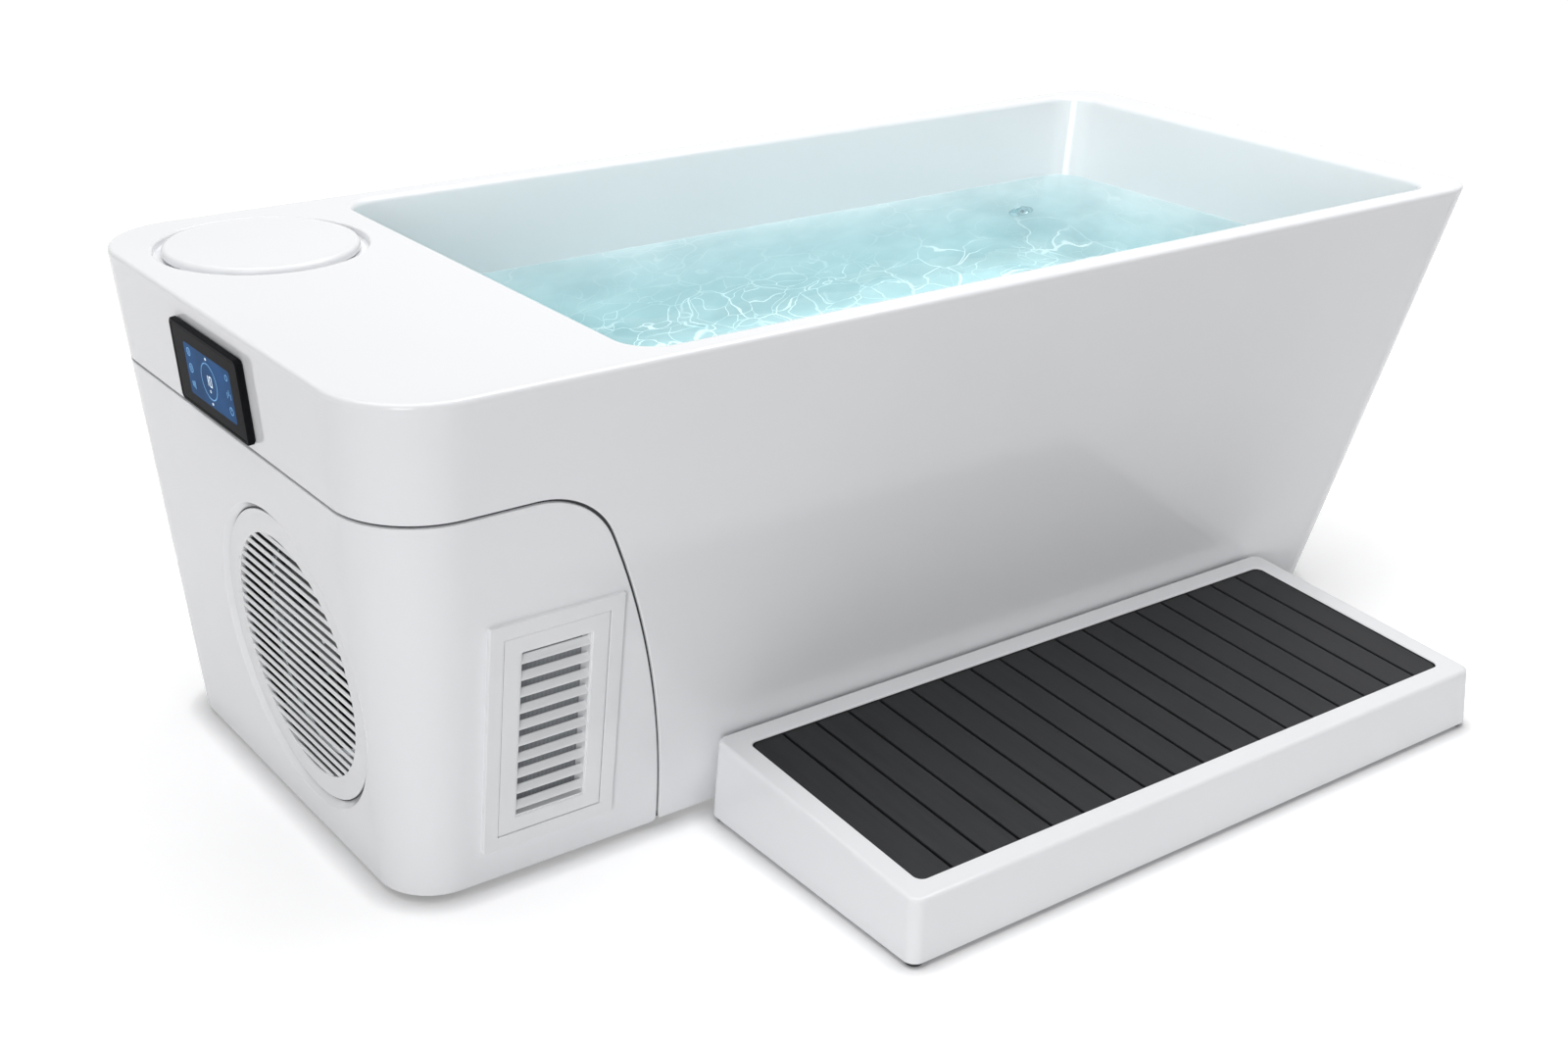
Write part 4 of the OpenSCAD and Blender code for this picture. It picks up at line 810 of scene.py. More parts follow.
@dataclass(frozen=True)
class Shop:
    """Makes finished objects from sheets, in the shared frame."""

    origin: tuple[float, float, float] = (962.11526, 265.03922, 0.0)

    def mesh(self, name: str, sheets: Iterable[Sheet]) -> Mesh:
        """Joins sheets into one mesh with doubles merged, open ends filled and faces outward.

        Args:
            name: the mesh's name.
            sheets: the grids.

        Returns:
            The mesh.
        """
        sheets = list(sheets)
        starts = np.cumsum([0] + [sheet.points[..., 0].size for sheet in sheets])
        points = (np.concatenate([s.points.reshape(-1, 3) for s in sheets]) - self.origin) / MM
        quads = np.concatenate([s.quads(int(start)) for s, start in zip(sheets, starts)])
        mesh = bpy.data.meshes.new(name)
        mesh.vertices.add(len(points))
        mesh.vertices.foreach_set("co", points.astype(np.float32).ravel())
        mesh.loops.add(quads.size)
        mesh.loops.foreach_set("vertex_index", quads.astype(np.int32).ravel())
        mesh.polygons.add(len(quads))
        mesh.polygons.foreach_set("loop_start", np.arange(0, quads.size, 4, dtype=np.int32))
        mesh.update(calc_edges=True)
        self.tidy(mesh)
        return mesh

    def tidy(self, mesh: Mesh, merge_mm: float = 0.004) -> None:
        """Merges doubles, fills open ends and turns faces outward.

        Args:
            mesh: the mesh, changed in place.
            merge_mm: points nearer than this become one.
        """
        work = bmesh.new()
        work.from_mesh(mesh)
        bmesh.ops.remove_doubles(work, verts=work.verts, dist=merge_mm / MM)
        bmesh.ops.dissolve_degenerate(work, edges=work.edges, dist=merge_mm / MM / 4)
        bmesh.ops.delete(work, geom=[edge for edge in work.edges if edge.is_wire], context="EDGES")
        bmesh.ops.holes_fill(work, edges=[edge for edge in work.edges if edge.is_boundary], sides=0)
        bmesh.ops.recalc_face_normals(work, faces=work.faces)
        work.to_mesh(mesh)
        work.free()

    def carve(self, mesh: Mesh, cutters: Iterable[Sheet]) -> Mesh:
        """Takes closed cutters out of a mesh.

        Args:
            mesh: the mesh to cut.
            cutters: sheets of closed forms.

        Returns:
            The cut mesh.
        """
        whole = bpy.data.objects.new("uncut", mesh)
        tool = bpy.data.objects.new("cutter", self.mesh("cutter", cutters))
        for one in (whole, tool):
            bpy.context.scene.collection.objects.link(one)
        cut = whole.modifiers.new("cut", "BOOLEAN")
        cut.object, cut.operation, cut.solver = tool, "DIFFERENCE", "EXACT"
        done = bpy.data.meshes.new_from_object(whole.evaluated_get(bpy.context.evaluated_depsgraph_get()))
        done.name = mesh.name
        for one in (whole, tool):
            data = one.data
            bpy.data.objects.remove(one)
            bpy.data.meshes.remove(data)
        return done

    def join(self, mesh: Mesh, sheets: Iterable[Sheet]) -> Mesh:
        """Adds closed sheets to a mesh.

        Args:
            mesh: the mesh, changed in place.
            sheets: the grids.

        Returns:
            The same mesh.
        """
        extra = self.mesh("extra", sheets)
        work = bmesh.new()
        for one in (mesh, extra):
            work.from_mesh(one)
        work.to_mesh(mesh)
        work.free()
        bpy.data.meshes.remove(extra)
        return mesh

    def paint(self, mesh: Mesh, plain: Look, other: Look, mask: Array) -> None:
        """Gives a mesh two finishes.

        Args:
            mesh: the mesh, changed in place.
            plain: what most faces are made of.
            other: what the faces in the mask are made of.
            mask: which faces those are, one value for each face.
        """
        for look in (plain, other):
            mesh.materials.append(look.material())
        mesh.polygons.foreach_set("material_index", mask.astype(np.int32))

    def piece(self, name: str, mesh: Mesh, body: str, look: Look, nodes: Sequence[str] = (),
              slot: str = "", sharp: float = 34.0) -> Object:
        """Makes a mesh a finished piece that rides on a body.

        Args:
            name: the piece's name.
            mesh: its mesh, in metres.
            body: the body that it rides on.
            look: what it is made of, unless the mesh has materials already.
            nodes: the solids that it stands for.
            slot: the record's material slot, not used.
            sharp: edges steeper than this many degrees stay sharp.

        Returns:
            The object.
        """
        mesh.polygons.foreach_set("use_smooth", np.ones(len(mesh.polygons), bool))
        mesh.set_sharp_from_angle(angle=math.radians(sharp))
        made = bpy.data.objects.new(name, mesh)
        bpy.context.scene.collection.objects.link(made)
        if not mesh.materials:
            mesh.materials.append(look.material())
        weight = made.modifiers.new("flat_faces_stay_flat", "WEIGHTED_NORMAL")
        weight.keep_sharp = True
        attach(made, body)
        if nodes:
            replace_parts(made, *nodes)
        LOG.info("%s: %d faces on %s", name, len(mesh.polygons), body)
        return made

    def make(self, name: str, sheets: Iterable[Sheet], body: str, look: Look, nodes: Sequence[str] = (),
             slot: str = "", sharp: float = 34.0) -> None:
        """Makes sheets a finished piece of that name; what follows them is as for piece."""
        self.piece(name, self.mesh(name, sheets), body, look, nodes, slot, sharp)


SHOP = Shop()


def face_frames(mesh: Mesh) -> tuple[Array, Array]:
    """Reads where a mesh's faces are and which way they look.

    Args:
        mesh: the mesh, in metres.

    Returns:
        The faces' middles, in the tub's millimetres, and their normals.
    """
    found = []
    for name in ("center", "normal"):
        values = np.zeros(len(mesh.polygons) * 3, np.float32)
        mesh.polygons.foreach_get(name, values)
        found.append(values.reshape(-1, 3))
    return found[0] * MM + SHOP.origin, found[1]


@dataclass(frozen=True)
class Seam:
    """The line between skirt and chiller cover: level over the end, round a shoulder, down a long flank."""

    height: float = 546.0
    shoulder: tuple[float, float, float] = (217.433, 426.0, 120.0)
    flank: tuple[float, float] = (-775.0, 1200.0)
    meet: float = 23.23
    half_gap: float = 2.0

    def top(self, x: Array, grow: float) -> Array:
        """Height of the line over x, moved outward: the level part, then each circle's upper half.

        Args:
            x: places along the tub.
            grow: distance that the line is moved away from the cover.

        Returns:
            Heights, far below the floor where the line doesn't reach.
        """
        cx, cz, r = self.shoulder
        fx, fr = self.flank
        near = cz + np.sqrt(np.maximum((r + grow) ** 2 - (x - cx) ** 2, 0))
        square = (fr + grow) ** 2 - (x - fx) ** 2
        far = np.where(square > 0, np.sqrt(np.maximum(square, 0)), -100.0)
        ends = cx + (r + grow) * math.cos(math.radians(self.meet))
        return np.where(x <= cx, self.height + grow, np.where(x <= ends, near, far))

    def columns(self, grow: float, lowest: float, beyond: int) -> Columns:
        """Columns of the outer walls that follow the line closely.

        Heights are taken evenly up the flank and angles evenly round the shoulder. Each gives the fraction
        of the front between its corners at that height.

        Args:
            grow: distance that the line is moved.
            lowest: height of the first point on the flank.
            beyond: columns between the seam and the foot end.

        Returns:
            The columns.
        """
        cx, cz, r = self.shoulder
        z = np.linspace(lowest, (r + grow) * math.sin(math.radians(self.meet)) + cz, 42)
        flank = np.stack([self.flank[0] + np.sqrt((self.flank[1] + grow) ** 2 - z ** 2), z], -1)
        bend = arc((cx, cz), r + grow, self.meet, 90, 18)[1:]
        line = np.concatenate([flank, bend])
        level = WALLS.skirt_levels(line[:, 1], 0.0)
        start, stop = level[:, 1] + level[:, 5], level[:, 3] - level[:, 6]
        share = np.sort((line[:, 0] - start) / (stop - start))
        lead, rest = np.linspace(0, share[0], 5)[:-1], np.linspace(share[-1], 1, beyond + 1)[1:]
        return Columns(np.concatenate([lead, share, rest]), np.linspace(0, 1, 15),
                       np.linspace(0, np.pi / 2, 17)[:-1])

    def crossing(self, base: Array, top: Array, span: tuple[float, float], grow: float) -> Array:
        """Heights at which straight columns cross the line, by halving the span forty times.

        Args:
            base: column points at the lower height.
            top: column points at the upper height.
            span: those two heights.
            grow: distance that the line is moved.

        Returns:
            One height for each column, well below the floor where a column doesn't cross.
        """
        low, high = np.full(len(base), -40.0), np.full(len(base), span[1])
        for _ in range(40):
            middle = (low + high) / 2
            share = (middle - span[0]) / (span[1] - span[0])
            x = base[:, 0] + (top[:, 0] - base[:, 0]) * share
            above = middle > self.top(x, grow)
            low, high = np.where(above, low, middle), np.where(above, middle, high)
        return high


SEAM = Seam()


def inward(base: Array, top: Array, share: Array) -> Array:
    """Normals into the tub of the ruled outer wall: the column's direction crossed with the ring's.

    Args:
        base: the columns' lower points.
        top: their upper points.
        share: how far up each column the normal is taken, from 0 to 1.

    Returns:
        Unit normals, one for each column.
    """
    share = share[:, None]
    along = unit((1 - share) * tangents(base, True) + share * tangents(top, True))
    return unit(np.cross(top - base, along))


def rounded_edge(start: Array, out: Array, inside: Array, radius: float, steps: int = 6) -> Array:
    """Rows that turn a sheet's edge through a quarter circle.

    Each row is the start, plus the way out times the radius and the sine of the row's angle, plus the way
    in times the radius and one less the cosine.

    Args:
        start: the edge's points.
        out: unit directions that carry the sheet on past its edge.
        inside: unit directions into the tub.
        radius: the round's radius.
        steps: points in the quarter circle, with the start.

    Returns:
        Rows of points, without the start.
    """
    angle = np.linspace(0, np.pi / 2, steps)[1:, None, None]
    return start + out * (radius * np.sin(angle)) + inside * (radius * (1 - np.cos(angle)))


@dataclass(frozen=True)
class Basin:
    """Basin, rim and deck in one moulding, with the water in it."""

    rim_round: float = 7.0
    rim_thick: float = 10.0
    mouth_round: float = 9.0
    wall: float = 5.0
    lid_at: tuple[float, float] = (184.0, 700.0)
    recess_r: float = 144.5
    well_r: float = 108.0
    ledge: float = 690.0
    boss: float = 676.0
    lip: float = 3.5
    drain_at: tuple[float, float] = (1000.305, 445.0)
    drain_r: float = 22.3
    hub: tuple[float, float] = (1080.0, 445.0)
    water: float = 560.0
    ripple: float = 0.7
    meniscus: tuple[float, float] = (3.0, 1.5)

    def columns(self) -> Columns:
        """Columns close in the corners and along the mouth."""
        return Columns(np.linspace(0, 1, 49), np.linspace(0, 1, 25), np.linspace(0, np.pi / 2, 21)[:-1])

    def rings(self, z: Array | Sequence[float], grow: Array | float) -> Array:
        """Rings of the basin's inner walls at heights, moved out by a distance."""
        return self.columns().rings(WALLS.basin_levels(z, grow))

    def cove(self, grow: float, degrees: Array) -> Array:
        """Rings of the quarter round between the basin's floor and walls.

        Args:
            grow: distance that it is moved out.
            degrees: angles of the rings, 0 on the floor and 90 on the walls.

        Returns:
            Points, rings by columns by 3.
        """
        angle, r = np.radians(degrees), WALLS.floor_round
        return self.rings(WALLS.floor - grow + r * (1 - np.cos(angle)), grow - r * (1 - np.sin(angle)))

    def shell(self) -> Sheet:
        """The moulding as one profile of rings: rim edge, deck, mouth, walls, floor and underside.

        The rim's and the mouth's edges are quarter rounds, and the floor rounds up into the walls over a
        quarter circle. The deck is drawn straight from the rim's inner ring to the mouth's outer ring.

        Returns:
            The sheet, closed both ways.
        """
        w, columns = WALLS, self.columns()
        a = np.radians(np.linspace(0, 90, 7))
        rim = columns.rings(w.skirt_levels(w.height - self.rim_round * (1 - np.sin(a)),
                                           self.rim_round * (1 - np.cos(a))))
        base = columns.rings(w.skirt_levels(w.height - self.rim_thick, 0.0))
        b = np.radians(np.linspace(0, 90, 8))
        mouth = self.rings(w.height - self.mouth_round * (1 - np.cos(b)), self.mouth_round * (1 - np.sin(b)))
        deck = rim[-1] + (mouth[0] - rim[-1]) * np.linspace(0, 1, 6)[1:-1, None, None]
        heights = np.concatenate([np.linspace(w.height - self.mouth_round, self.water, 6)[1:],
                                  np.linspace(self.water, w.floor + w.floor_round, 9)[1:]])
        walls = self.rings(heights, 0.0)
        cove = self.cove(0.0, np.linspace(90, 0, 9)[1:])
        middle = cove[-1].mean(0)
        floor = cove[-1] + (middle - cove[-1]) * np.linspace(0, 1, 6)[1:, None, None]
        under = self.cove(self.wall, np.linspace(0, 90, 6))
        outside = self.rings([w.height - self.rim_thick], self.wall)
        rings = [base, rim, deck, mouth, walls, cove, floor, pole(under[0]), under, outside]
        return Sheet(np.concatenate(rings), round_rows=True)

    def lid_seat(self) -> list[Sheet]:
        """The turned recess that the lid sits in: a rounded lip, a wall, a ledge and the well's collar.

        Returns:
            The sheet, in a list.
        """
        top, lip = WALLS.height, self.lip
        place = Place((*self.lid_at, 0.0))
        edge = arc((self.recess_r + lip, top - lip), lip, 90, 180, 8)
        rows = np.concatenate([edge, [(self.recess_r, self.ledge + 2.5)],
                               arc((self.recess_r - 2.5, self.ledge + 2.5), 2.5, 360, 270, 5)[1:],
                               arc((self.well_r + 2, self.ledge - 2), 2, 90, 180, 5),
                               [(self.well_r, self.boss), (self.recess_r + 8, self.boss),
                                (self.recess_r + 8, top - 9.5), (self.recess_r + lip, top - 9.5)]])
        return [turned(place, rows, closed=True, count=160)]

    def build(self) -> None:
        """Makes the basin and cuts the lid's recess and the drain's hole in it."""
        mesh = SHOP.mesh("basin", [self.shell()])
        for at, radius, span, count in ((self.lid_at, self.recess_r + self.lip, (600, 760), 160),
                                        (self.drain_at, self.drain_r, (90, 160), 96)):
            mesh = SHOP.carve(mesh, [disc(Place((*at, 0.0)), radius, span, count)])
        mesh = SHOP.join(mesh, self.lid_seat())
        self.dress(mesh)
        SHOP.piece("basin", mesh, "tub", BASIN_ACRYLIC, ["basin_liner"], "acrylic_basin")

    def dress(self, mesh: Mesh) -> None:
        """Gives the faces under the water line that look into the basin or up their own finish, with painted
        caustic light and painted ripple shade.

        Args:
            mesh: the basin, changed in place.
        """
        centre, normal = face_frames(mesh)
        facing = ((np.array(self.hub) - centre[:, :2]) * normal[:, :2]).sum(1) > 0
        seen = facing | (normal[:, 2] > 0.2)
        # faces that get the painted caustic light and painted ripple shade
        painted_caustic_faces = seen & (centre[:, 2] < self.water) & (centre[:, 0] > WALLS.deck + 3)
        SHOP.paint(mesh, BASIN_ACRYLIC, WET_ACRYLIC_PAINTED_CAUSTICS, painted_caustic_faces)

    def fill(self) -> None:
        """Makes the water: a rippled top, and sides and a bottom just inside the acrylic.

        So no air shows between the two. The ripple's height is a sum of five sine waves of different
        lengths and headings, and dies away at the wall into a small upward meniscus.
        """
        w, into = WALLS, 1.5
        edge = self.rings([self.water], into)
        inner = self.rings([self.water], -self.meniscus[0])
        share = np.linspace(1, 0, 44)[:, None, None]
        hub = inner[0].mean(0)
        top = hub + (inner[0] - hub) * share
        x, y = top[..., 0], top[..., 1]
        waves = ((310, 20, 1.0), (190, -38, 0.8), (140, 75, 0.6), (97, 8, 0.45), (76, -62, 0.35))
        lift = np.zeros_like(x)
        for number, (length, heading, size) in enumerate(waves):
            ahead, across = cos_sin(heading)
            lift += size * np.sin(2 * np.pi * (x * ahead + y * across) / length + number)
        top[..., 2] = self.water + self.ripple * lift * (1 - share[..., 0] ** 6)
        edge[..., 2] += self.meniscus[1]
        z = np.linspace(self.water, w.floor + w.floor_round, 4)[1:]
        sides = self.rings(z, into)
        cove = self.cove(into, np.linspace(90, 0, 9)[1:])
        sheet = Sheet(np.concatenate([top[::-1], edge, sides, cove, pole(cove[-1])]))
        SHOP.make("water", [sheet], "tub", WATER, sharp=60.0)


@dataclass(frozen=True)
class Skirt:
    """Outer shell under the rim, with a rounded edge along the seam and a joggled lip behind the gap."""

    thick: float = 5.0
    edge: float = 1.6
    lip_wide: float = 18.0
    lip_thick: float = 4.0
    lip_end: float = 900.0
    screen_hole: tuple[float, float, float, float] = (445.0, 616.0, 177.0, 80.0)

    def build(self) -> None:
        """Makes the shell: straight columns from the rim to the seam or the foot, an edge, lip and back."""
        w, grow = WALLS, SEAM.half_gap + self.edge
        columns = SEAM.columns(grow, w.lift + self.edge, 24)
        base, top = columns.rings(w.skirt_levels([w.lift, w.rim_foot], 0.0))
        cross = SEAM.crossing(base, top, (w.lift, w.rim_foot), grow)
        low = np.maximum(cross, w.lift + self.edge)
        share = (low - w.lift) / (w.rim_foot - w.lift)
        start = base + (top - base) * share[:, None]
        inside = inward(base, top, share)
        out = unit(np.cross(inside, tangents(start, True)))
        # the flank runs almost along the columns, so a small bias settles which side is out there
        out *= np.sign((out * (base - top)).sum(-1) + 0.02 * (start[:, 0] > 300))[:, None]
        lip = (cross > w.lift + self.edge)[:, None].astype(float)
        rows = np.linspace(0, 1, 9)[:, None, None]
        outer = top + (start - top) * rows
        edge = rounded_edge(start, out, inside, self.edge)
        t = self.thick
        reach = self.edge + (self.lip_wide + 2) * lip
        back = [edge[-1] + inside * (t - self.edge), start + out * reach + inside * t,
                start + out * reach + inside * (t + self.lip_thick * lip),
                start - out * (self.lip_wide * lip) + inside * (t + self.lip_thick * lip),
                start - out * (self.lip_wide * lip) + inside * t,
                top + inward(base, top, np.ones(len(top))) * t]
        sheet = Sheet(np.concatenate([outer, edge, np.stack(back)]), round_rows=True)
        sheet.points[..., 2] = np.maximum(sheet.points[..., 2], w.lift)
        mesh = SHOP.mesh("skirt", [sheet])
        y, z, wide, high = self.screen_hole
        mesh = SHOP.carve(mesh, [block(w.on_left(y, z), wide, high, 4, (-50, 50))])
        self.dress(mesh)
        SHOP.piece("skirt", mesh, "tub", ACRYLIC, ["outer_skirt"], "acrylic_skirt")

    def dress(self, mesh: Mesh) -> None:
        """Lays dark sealing tape on the lip as painted shade in the seam's gap.

        The lip's faces look outward and lie deeper than the shell is thick. The depth is the distance in
        from a rounded rectangle of the outer wall's size at each face's height.

        Args:
            mesh: the skirt, changed in place.
        """
        centre, normal = face_frames(mesh)
        _, x0, y0, x1, y1, r, _ = WALLS.skirt_levels(centre[:, 2], 0.0).T
        middle, half = np.stack([x0 + x1, y0 + y1], -1) / 2, np.stack([x1 - x0, y1 - y0], -1) / 2
        away = centre[:, :2] - middle
        past = np.abs(away) - (half - r[:, None])
        depth = r - np.linalg.norm(np.maximum(past, 0), axis=1) - np.minimum(past.max(1), 0)
        least = np.where(past.max(1, keepdims=True) > 0, 0.0, 1e-6)
        outward = (unit(np.maximum(past, least) * np.sign(away)) * normal[:, :2]).sum(1) > 0.5
        # the dark tape is painted shade for the seam's gap
        seam_shade = outward & (depth > self.thick - 0.6) & (centre[:, 0] < self.lip_end)
        SHOP.paint(mesh, ACRYLIC, SEAM_SHADE_TAPE, seam_shade)


@dataclass(frozen=True)
class Cover:
    """Chiller cover that wraps round the end, with the grille's bevelled recess and the vent's opening."""

    thick: float = 4.5
    lift: float = 10.0
    edge: float = 1.6
    foot_edge: float = 2.0
    tip: float = 6.0
    grille_at: tuple[float, float] = (349.0, 260.0)
    recess_r: float = 208.0
    floor_r: float = 200.0
    hole_r: float = 170.0
    depth: float = 9.0
    pan: float = 4.0
    lip: float = 2.5
    vent_at: tuple[float, float] = (251.0, 227.0)
    vent_hole: tuple[float, float] = (158.0, 304.0)
    studs_y: tuple[float, float] = (165.0, 525.0)
    studs_z: tuple[float, float] = (95.0, 495.0)
    boss: tuple[float, float, float] = (5.05, 12.0, 85.0)

    def wrap(self) -> Sheet:
        """The wrap-round panel: columns from the foot's edge to the seam, both edges rounded, and a back.

        Over the last millimetres before the flank the foot's edge rises by a quarter circle, which rounds
        the tip.

        Returns:
            The sheet, open at its two ends.
        """
        w, grow = WALLS, -SEAM.half_gap - self.edge
        tip_z = self.lift + self.foot_edge + self.tip
        columns = SEAM.columns(grow, tip_z, 4)
        base, top = columns.rings(w.skirt_levels([w.lift, w.rim_foot], 0.0))
        normals = inward(base, top, np.full(len(base), 0.4))
        cross = SEAM.crossing(base, top, (w.lift, w.rim_foot), grow)
        kept = np.flatnonzero(cross > tip_z - 0.5)
        base, top, inside, cross = base[kept], top[kept], normals[kept], cross[kept]
        span = w.rim_foot - w.lift
        upper = base + (top - base) * ((cross - w.lift) / span)[:, None]
        last = upper[:, 0].max()
        bend = np.clip((base[:, 0] - (last - self.tip)) / self.tip, 0, 1)
        foot = self.lift + self.foot_edge + self.tip * (1 - np.sqrt(1 - bend ** 2))
        lower = base + (top - base) * ((np.minimum(foot, cross) - w.lift) / span)[:, None]
        up = unit(np.cross(inside, tangents(upper, False)))
        up *= np.sign((up * (top - base)).sum(-1) + 0.02)[:, None]
        down = unit(np.cross(inside, tangents(lower, False)))
        down *= np.sign((down * (base - top)).sum(-1) + 0.02)[:, None]
        rows = np.linspace(0, 1, 9)[:, None, None]
        seam = rounded_edge(upper, up, inside, self.edge)
        sole = rounded_edge(lower, down, inside, self.foot_edge)
        back = np.stack([seam[-1] + inside * (self.thick - self.edge), upper + inside * self.thick,
                         lower + inside * self.thick, sole[-1] + inside * (self.thick - self.foot_edge)])
        rings = np.concatenate([lower + (upper - lower) * rows, seam, back, sole[::-1]])
        return Sheet(rings, round_rows=True, round_cols=False)

    def rim(self) -> tuple[float, float]:
        """Slope of the recess's cone in degrees, and the radius where its rounded lip leaves the panel."""
        slope = math.degrees(math.atan2(self.depth, self.recess_r - self.floor_r))
        return slope, self.recess_r + self.lip * math.tan(math.radians(slope / 2))

    def recess(self) -> list[Sheet]:
        """The pan that the grille lies in, turned on the end wall: a lip, a cone, a floor and a back.

        Returns:
            The sheet, in a list.
        """
        slope, out = self.rim()
        low = -self.depth - self.pan
        rows = np.concatenate([[(out + 1, 0.0)], arc((out, -self.lip), self.lip, 90, 90 + slope, 10),
                               [(self.floor_r, -self.depth), (self.hole_r, -self.depth), (self.hole_r, low),
                                (self.floor_r + 4, low), (out + 1, -self.thick)]])
        return [turned(WALLS.on_left(*self.grille_at), rows, closed=True, count=192)]

    def bosses(self) -> list[Sheet]:
        """Four bored bosses behind the panel, which push onto the studs.

        Returns:
            One sheet for each boss.
        """
        made = []
        bore, outer, end = self.boss
        for y in self.studs_y:
            for z in self.studs_z:
                place = Place((0.0, y, z), (0, 1, 0), (0, 0, 1), (1, 0, 0))
                start = float(WALLS.left(z)) + 3
                rows = [(bore, start + 6), (outer, start), (outer, end - 1), (outer - 1, end), (6, end),
                        (bore, end - 1)]
                made.append(turned(place, rows, closed=True, count=40))
        return made

    def build(self) -> None:
        """Makes the cover and cuts the recess and the vent's opening."""
        mesh = SHOP.mesh("chiller_cover", [self.wrap()])
        mesh = SHOP.carve(mesh, [disc(WALLS.on_left(*self.grille_at), self.rim()[1] + 1, (-70, 70), 192)])
        mesh = SHOP.carve(mesh, [block(WALLS.on_front(*self.vent_at), *self.vent_hole, 2, (-50, 50))])
        mesh = SHOP.join(mesh, self.recess() + self.bosses())
        SHOP.piece("cover_panel", mesh, "chiller_cover", ACRYLIC, ["chiller_cover"], "acrylic_cover")


@dataclass(frozen=True)
class RoundGrille:
    """Round louvred grille in the recess: a wide flat ring and thin leaning bars across it."""

    at: tuple[float, float] = Cover.grille_at
    depth: float = Cover.depth
    outer_r: float = 197.8
    # a dark rubber ring under the grille's edge: painted shade for the gap round the ring
    shade_gasket: tuple[float, float, float] = (195.0, 199.8, 1.0)
    field_r: float = 166.0
    count: int = 22
    bar: tuple[float, float] = (2.0, 6.0)
    bar_z: float = 1.0
    tilt: float = 72.0

    def build(self) -> None:
        """Makes the ring as a turned profile, and the louvres as bars that end on the ring's circle."""
        place = WALLS.on_left(*self.at).moved(z=-self.depth)
        r, outer = self.field_r, self.outer_r
        inner_edge, outer_edge, soft = self.shade_gasket
        rows = np.concatenate([[(r, -4), (r + 3.5, -4), (r + 3.5, 0), (inner_edge, 0), (inner_edge, soft),
                                (outer, soft)],
                               arc((outer - 0.8, 2.2), 0.8, 0, 90, 6), arc((r + 1, 2), 1.0, 90, 180, 6)])
        ring = turned(place, rows, closed=True, count=192)
        pitch = 2 * r / self.count
        middles = np.stack([(np.arange(self.count) + 0.5) * pitch - r, np.full(self.count, self.bar_z)], -1)
        section = rounded_section(*self.bar, 0.8)
        c, s = cos_sin(self.tilt)
        heights = middles[:, :1] + section[:, 0] * c - section[:, 1] * s
        half = np.sqrt(np.maximum((r + 1) ** 2 - heights ** 2, 4.0))
        sheets = [ring, *bars(place, section, middles, self.tilt, half)]
        SHOP.make("round_grille", sheets, "chiller_cover", WHITE_ABS, ["fan_grille"], "white_abs")
        # the dark ring under the grille's edge is painted shade for the gap round it
        shade_ring = turned(place, [(inner_edge, 0.0), (outer_edge, 0.0), (outer_edge, soft), (inner_edge, soft)],
                      closed=True, count=192)
        SHOP.make("grille_shade_gasket", [shade_ring], "chiller_cover", RUBBER)


